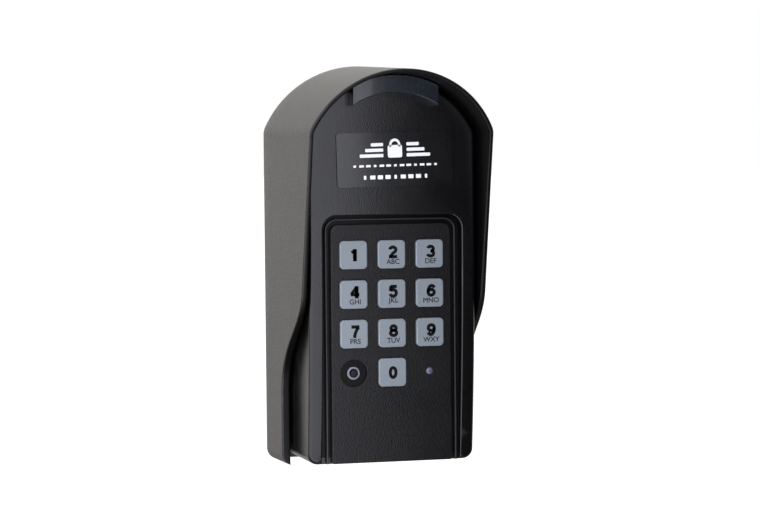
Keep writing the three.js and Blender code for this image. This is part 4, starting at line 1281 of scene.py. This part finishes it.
def make_program_button():
    """A black plunger in a pale ring, at the bottom of the round pocket."""
    flange_front = PANEL["back"] + GAP
    radius, front, edge = PROGRAM["radius"], PROGRAM["front"], 0.5
    profile = [(3.0, flange_front + 0.8), (3.0, flange_front), (radius, flange_front)]
    profile += [(radius - inward, front + edge - forward) for inward, forward in quarter(edge, 6)]
    profile.append((0.6, front + 0.02))
    plunger = solid_object("program_plunger", lathe(profile, PROGRAM["x"], LAST_ROW_Z))
    smoothed(plunger, 50)
    finish_piece(plunger, BUTTON_PLASTIC, "program_button", ["program_button"])

    floor = PANEL["front"] + PROGRAM["pocket_depth"]
    inner, outer, top, lip = radius + GAP, PROGRAM["collar"], floor - 1.1, 0.25
    profile = [(inner, floor - GAP), (outer, floor - GAP)]
    profile += [(outer - inward, top + lip - forward) for inward, forward in quarter(lip, 4)]
    profile += [(inner + inward, top + lip - forward) for inward, forward in reversed(quarter(lip, 4))]
    rings = [[(px, y, pz) for px, pz in circle(PROGRAM["x"], LAST_ROW_Z, r)] for r, y in profile]
    rings.append(rings[0])
    collar = solid_object("program_collar", skin(rings, ends=False))
    smoothed(collar, 50)
    finish_piece(collar, COLLAR_PLASTIC, "base", ["button_collar"])


def domed(radius, front, back, dome):
    """(radius, y) pairs of a post with a domed front."""
    steps = [math.radians(90 * step / 8) for step in range(8)]
    return [(radius, back)] + [(radius * math.cos(a), front + dome * (1 - math.sin(a))) for a in steps]


def make_status_lamp():
    lamp = solid_object("status_lamp", lathe(
        domed(STATUS["radius"], PANEL["front"] - 0.4, -52.5, 0.7), STATUS["x"], LAST_ROW_Z))
    smoothed(lamp, 50)
    finish_piece(lamp, STATUS_LENS, "base", ["status_led"])


# ---- Label and lamp --------------------------------------------------------------------------------

def emblem():
    """A padlock between stepped bars, over two rows of dashes: a mark that belongs to nobody."""
    shapes = [rounded_rectangle(0, 3.2, 6.4, 4.8, 0.8)]
    outer, inner = arc(0, 5.6, 2.5, 0, 180, 16), arc(0, 5.6, 1.5, 180, 0, 16)
    shapes.append([(2.5, 5.0), *outer, (-2.5, 5.0), (-1.5, 5.0), *inner, (1.5, 5.0)])
    for side in (-1, 1):
        for row, length in enumerate((5.5, 8.0, 10.5)):
            shapes.append(rounded_rectangle(side * (5.2 + length / 2), 5.9 - 2.1 * row, length, 1.25, 0.3))
    for column in range(13):
        shapes.append(rounded_rectangle(-18 + 3 * column, -2.2, 2.1 if column % 3 else 1.2, 0.85, 0.2))
    for column in range(9):
        shapes.append(rounded_rectangle(-13.6 + 3.4 * column, -6.6, 2.3 if column % 4 else 1.1, 1.5, 0.25))
    wider, taller, drop = 1.12, 1.25, 0.3
    return [[(x * wider, z * taller - drop) for x, z in shape] for shape in shapes]


def make_label():
    """The glossy plate with its printed mark, stuck on a little out of true."""
    back = CASE["face"] - GAP
    front = back - LABEL["thickness"]

    def outline_at(inset):
        return rounded_rectangle(0, 0, LABEL["width"], LABEL["height"], LABEL["corner"], inset)

    plate = solid_object("plate", puck(outline_at, front, back, 0.12))
    smoothed(plate, 50)
    plate.data.materials.append(LABEL_FILM)
    shapes = [prism(shape, front - 0.02, front + 0.1) for shape in emblem()]
    printed = solid_object("printed", joined(*shapes))
    printed.data.materials.append(WHITE_INK)
    label = joined_objects("label", [plate, printed])
    tilt = Matrix.Rotation(-math.radians(LABEL["tilt"]), 4, "Y")
    label.data.transform(Matrix.Translation(Vector((LABEL["x"], 0, LABEL["z"])) * MM) @ tilt)
    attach(label, "base")
    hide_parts("label_plate")


def arch_slice(half_width, lower_radius, upper_radius):
    """A slice of the arch between two radii, as a mirrored outline."""
    low = math.degrees(math.acos(half_width / lower_radius))
    high = math.degrees(math.acos(half_width / upper_radius))
    lower = arc(0, ARCH_Z, lower_radius, 89.5, low, 20)
    upper = arc(0, ARCH_Z, upper_radius, high, 89.5, 20)
    return mirrored(lower + upper)


def make_lamp_lens():
    """The smoked block under the hood's roof, hollow from behind, with crisp edges."""
    back = CASE["face"] - GAP
    front, wall, edge = back - LAMP["depth"], LAMP["wall"], LAMP["edge"]

    def ring(inset, y):
        lower, upper = LAMP["lower_radius"] + inset, LAMP["upper_radius"] - inset
        return [(x, y, z) for x, z in arch_slice(LAMP["half_width"] - inset, lower, upper)]

    rings = [ring(wall, front + wall), ring(wall, back), ring(0, back)]
    rings += [ring(inward, front + edge - forward) for inward, forward in quarter(edge, 4)]
    lens = solid_object("lamp_block", skin(rings))
    smoothed(lens, 40)
    finish_piece(lens, SMOKED_LENS, "base", ["lamp_lens"])


# ---- Screws ----------------------------------------------------------------------------------------

def screw_tree():
    """Geometry nodes: a cross-recessed screw at each point, its head behind the point and its shank ahead."""
    tree = bpy.data.node_groups.new("screws", "GeometryNodeTree")
    add = tree.interface.new_socket
    add("Places", in_out="INPUT", socket_type="NodeSocketGeometry")
    for label, value in (("Head radius", 0.003), ("Head height", 0.002), ("Shank radius", 0.0015),
                         ("Shank length", 0.02), ("Recess", 0.0012)):
        add(label, in_out="INPUT", socket_type="NodeSocketFloat").default_value = value
    add("Turn", in_out="INPUT", socket_type="NodeSocketVector")
    add("Material", in_out="INPUT", socket_type="NodeSocketMaterial")
    add("Screws", in_out="OUTPUT", socket_type="NodeSocketGeometry")
    nodes, links = tree.nodes, tree.links
    given, out = nodes.new("NodeGroupInput").outputs, nodes.new("NodeGroupOutput").inputs

    def half(socket, sign):
        node = nodes.new("ShaderNodeMath")
        node.operation = "MULTIPLY"
        node.inputs[1].default_value = 0.5 * sign
        links.new(socket, node.inputs[0])
        return node.outputs[0]

    def lifted(geometry, height):
        vector = nodes.new("ShaderNodeCombineXYZ")
        links.new(height, vector.inputs["Z"])
        move = nodes.new("GeometryNodeTransform")
        links.new(geometry, move.inputs["Geometry"])
        links.new(vector.outputs[0], move.inputs["Translation"])
        return move.outputs["Geometry"]

    head = nodes.new("GeometryNodeMeshCylinder")
    head.inputs["Vertices"].default_value = 40
    links.new(given["Head radius"], head.inputs["Radius"])
    links.new(given["Head height"], head.inputs["Depth"])
    shank = nodes.new("GeometryNodeMeshCylinder")
    shank.inputs["Vertices"].default_value = 24
    links.new(given["Shank radius"], shank.inputs["Radius"])
    links.new(given["Shank length"], shank.inputs["Depth"])
    bars = []
    for narrow, wide in (("X", "Y"), ("Y", "X")):
        size = nodes.new("ShaderNodeCombineXYZ")
        links.new(half(given["Recess"], 0.7), size.inputs[narrow])
        links.new(given["Head radius"], size.inputs[wide])
        links.new(given["Head height"], size.inputs["Z"])
        bar = nodes.new("GeometryNodeMeshCube")
        links.new(size.outputs[0], bar.inputs["Size"])
        bars.append(lifted(bar.outputs["Mesh"], given["Head height"]))
    joined_up = nodes.new("GeometryNodeMeshBoolean")
    joined_up.operation = "UNION"
    joined_up.solver = "EXACT"
    links.new(lifted(head.outputs["Mesh"], half(given["Head height"], 1)), joined_up.inputs["Mesh 2"])
    links.new(lifted(shank.outputs["Mesh"], half(given["Shank length"], -0.96)), joined_up.inputs["Mesh 2"])
    recessed = nodes.new("GeometryNodeMeshBoolean")
    recessed.operation = "DIFFERENCE"
    recessed.solver = "EXACT"
    links.new(joined_up.outputs["Mesh"], recessed.inputs["Mesh 1"])
    for bar in bars:
        links.new(bar, recessed.inputs["Mesh 2"])
    each = nodes.new("GeometryNodeInstanceOnPoints")
    links.new(given["Places"], each.inputs["Points"])
    links.new(recessed.outputs["Mesh"], each.inputs["Instance"])
    links.new(given["Turn"], each.inputs["Rotation"])
    real = nodes.new("GeometryNodeRealizeInstances")
    paint = nodes.new("GeometryNodeSetMaterial")
    links.new(each.outputs["Instances"], real.inputs["Geometry"])
    links.new(real.outputs["Geometry"], paint.inputs["Geometry"])
    links.new(given["Material"], paint.inputs["Material"])
    links.new(paint.outputs["Geometry"], out["Screws"])
    return tree


def make_screws(tree, name, places, turn, nodes, **sizes):
    """Screws of one kind. A place is the point under the head; the sizes are in millimetres."""
    mesh = bpy.data.meshes.new(name)
    mesh.from_pydata([Vector(place) * MM for place in places], [], [])
    metres = {label: size * MM for label, size in sizes.items()}
    screws = grown(linked(name, mesh), tree, Turn=turn, Material=STEEL, **metres)
    smoothed(screws, 35)
    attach(screws, "base")
    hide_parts(*nodes)


def make_all_screws():
    tree = screw_tree()
    back_of_case = CASE["back"] - 3.4 + GAP
    make_screws(
        tree, "case_screws", at_corners(CASE_SCREWS, lambda x, z: (x, back_of_case, z)),
        (math.radians(-90), 0, 0), [f"case_screw_{n}" for n in range(1, 5)],
        Head_radius=CASE_SCREWS["head"], Head_height=2.2, Shank_radius=CASE_SCREWS["radius"],
        Shank_length=back_of_case - CASE_SCREWS["front"], Recess=1.4,
    )
    behind_board = BOARD_SCREWS["board_back"] + GAP
    make_screws(
        tree, "board_screws", at_corners(BOARD_SCREWS, lambda x, z: (x, behind_board, z)),
        (math.radians(-90), 0, 0), [f"board_screw_{n}" for n in range(1, 5)],
        Head_radius=BOARD_SCREWS["head"], Head_height=1.2, Shank_radius=BOARD_SCREWS["radius"],
        Shank_length=behind_board - PANEL["back"] - 1, Recess=0.9,
    )
    head_top = LOCK["flange_top"] - 0.7
    make_screws(
        tree, "lock_screw", [(0, LOCK["y"], head_top - 0.2)], (math.radians(180), 0, 0), ["case_lock_screw"],
        Head_radius=LOCK["head"] - 0.2, Head_height=1.2, Shank_radius=LOCK["radius"],
        Shank_length=LOCK["top"] - head_top, Recess=1.2,
    )


# ---- Inner pieces that keep their model shape ------------------------------------------------------

INNER_FINISHES = {
    "case_seal": RUBBER,
    "key_mat": RUBBER,
    "program_switch": CHIP_RESIN,
    "circuit_board": LAMINATE,
    "controller_chip": CHIP_RESIN,
    "radio_module": LAMINATE,
    "antenna_wire": WIRE_JACKET,
    "lamp_board": LAMINATE,
    "lamp_led": STATUS_LENS,
    "lamp_lead": WIRE_JACKET,
    "battery_holder": INNER_PLASTIC,
    "battery_door": CASE_PLASTIC,
    "battery_lead": WIRE_JACKET,
    "battery": JACKET,
    "positive_contact": STEEL,
    "lower_bridge_contact": STEEL,
    "upper_bridge_contact": STEEL,
    "negative_contact": STEEL,
}


def finish_inner_pieces():
    for name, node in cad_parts.items():
        kind = name.rstrip("0123456789").rstrip("_")
        material = INNER_FINISHES.get(name) or INNER_FINISHES.get(kind)
        if material is not None:
            node.data.materials.clear()
            node.data.materials.append(material)


# ---- Assembly --------------------------------------------------------------------------------------

make_hood()
make_wall_plate()
make_front_case()
make_rear_case()
make_keypad_panel()
strip_tree = path_tree()
make_panel_seal(strip_tree)
for key_digit, key_x, key_z in key_places():
    make_key(strip_tree, key_digit, key_x, key_z)
make_program_button()
make_status_lamp()
make_label()
make_lamp_lens()
make_all_screws()
finish_inner_pieces()
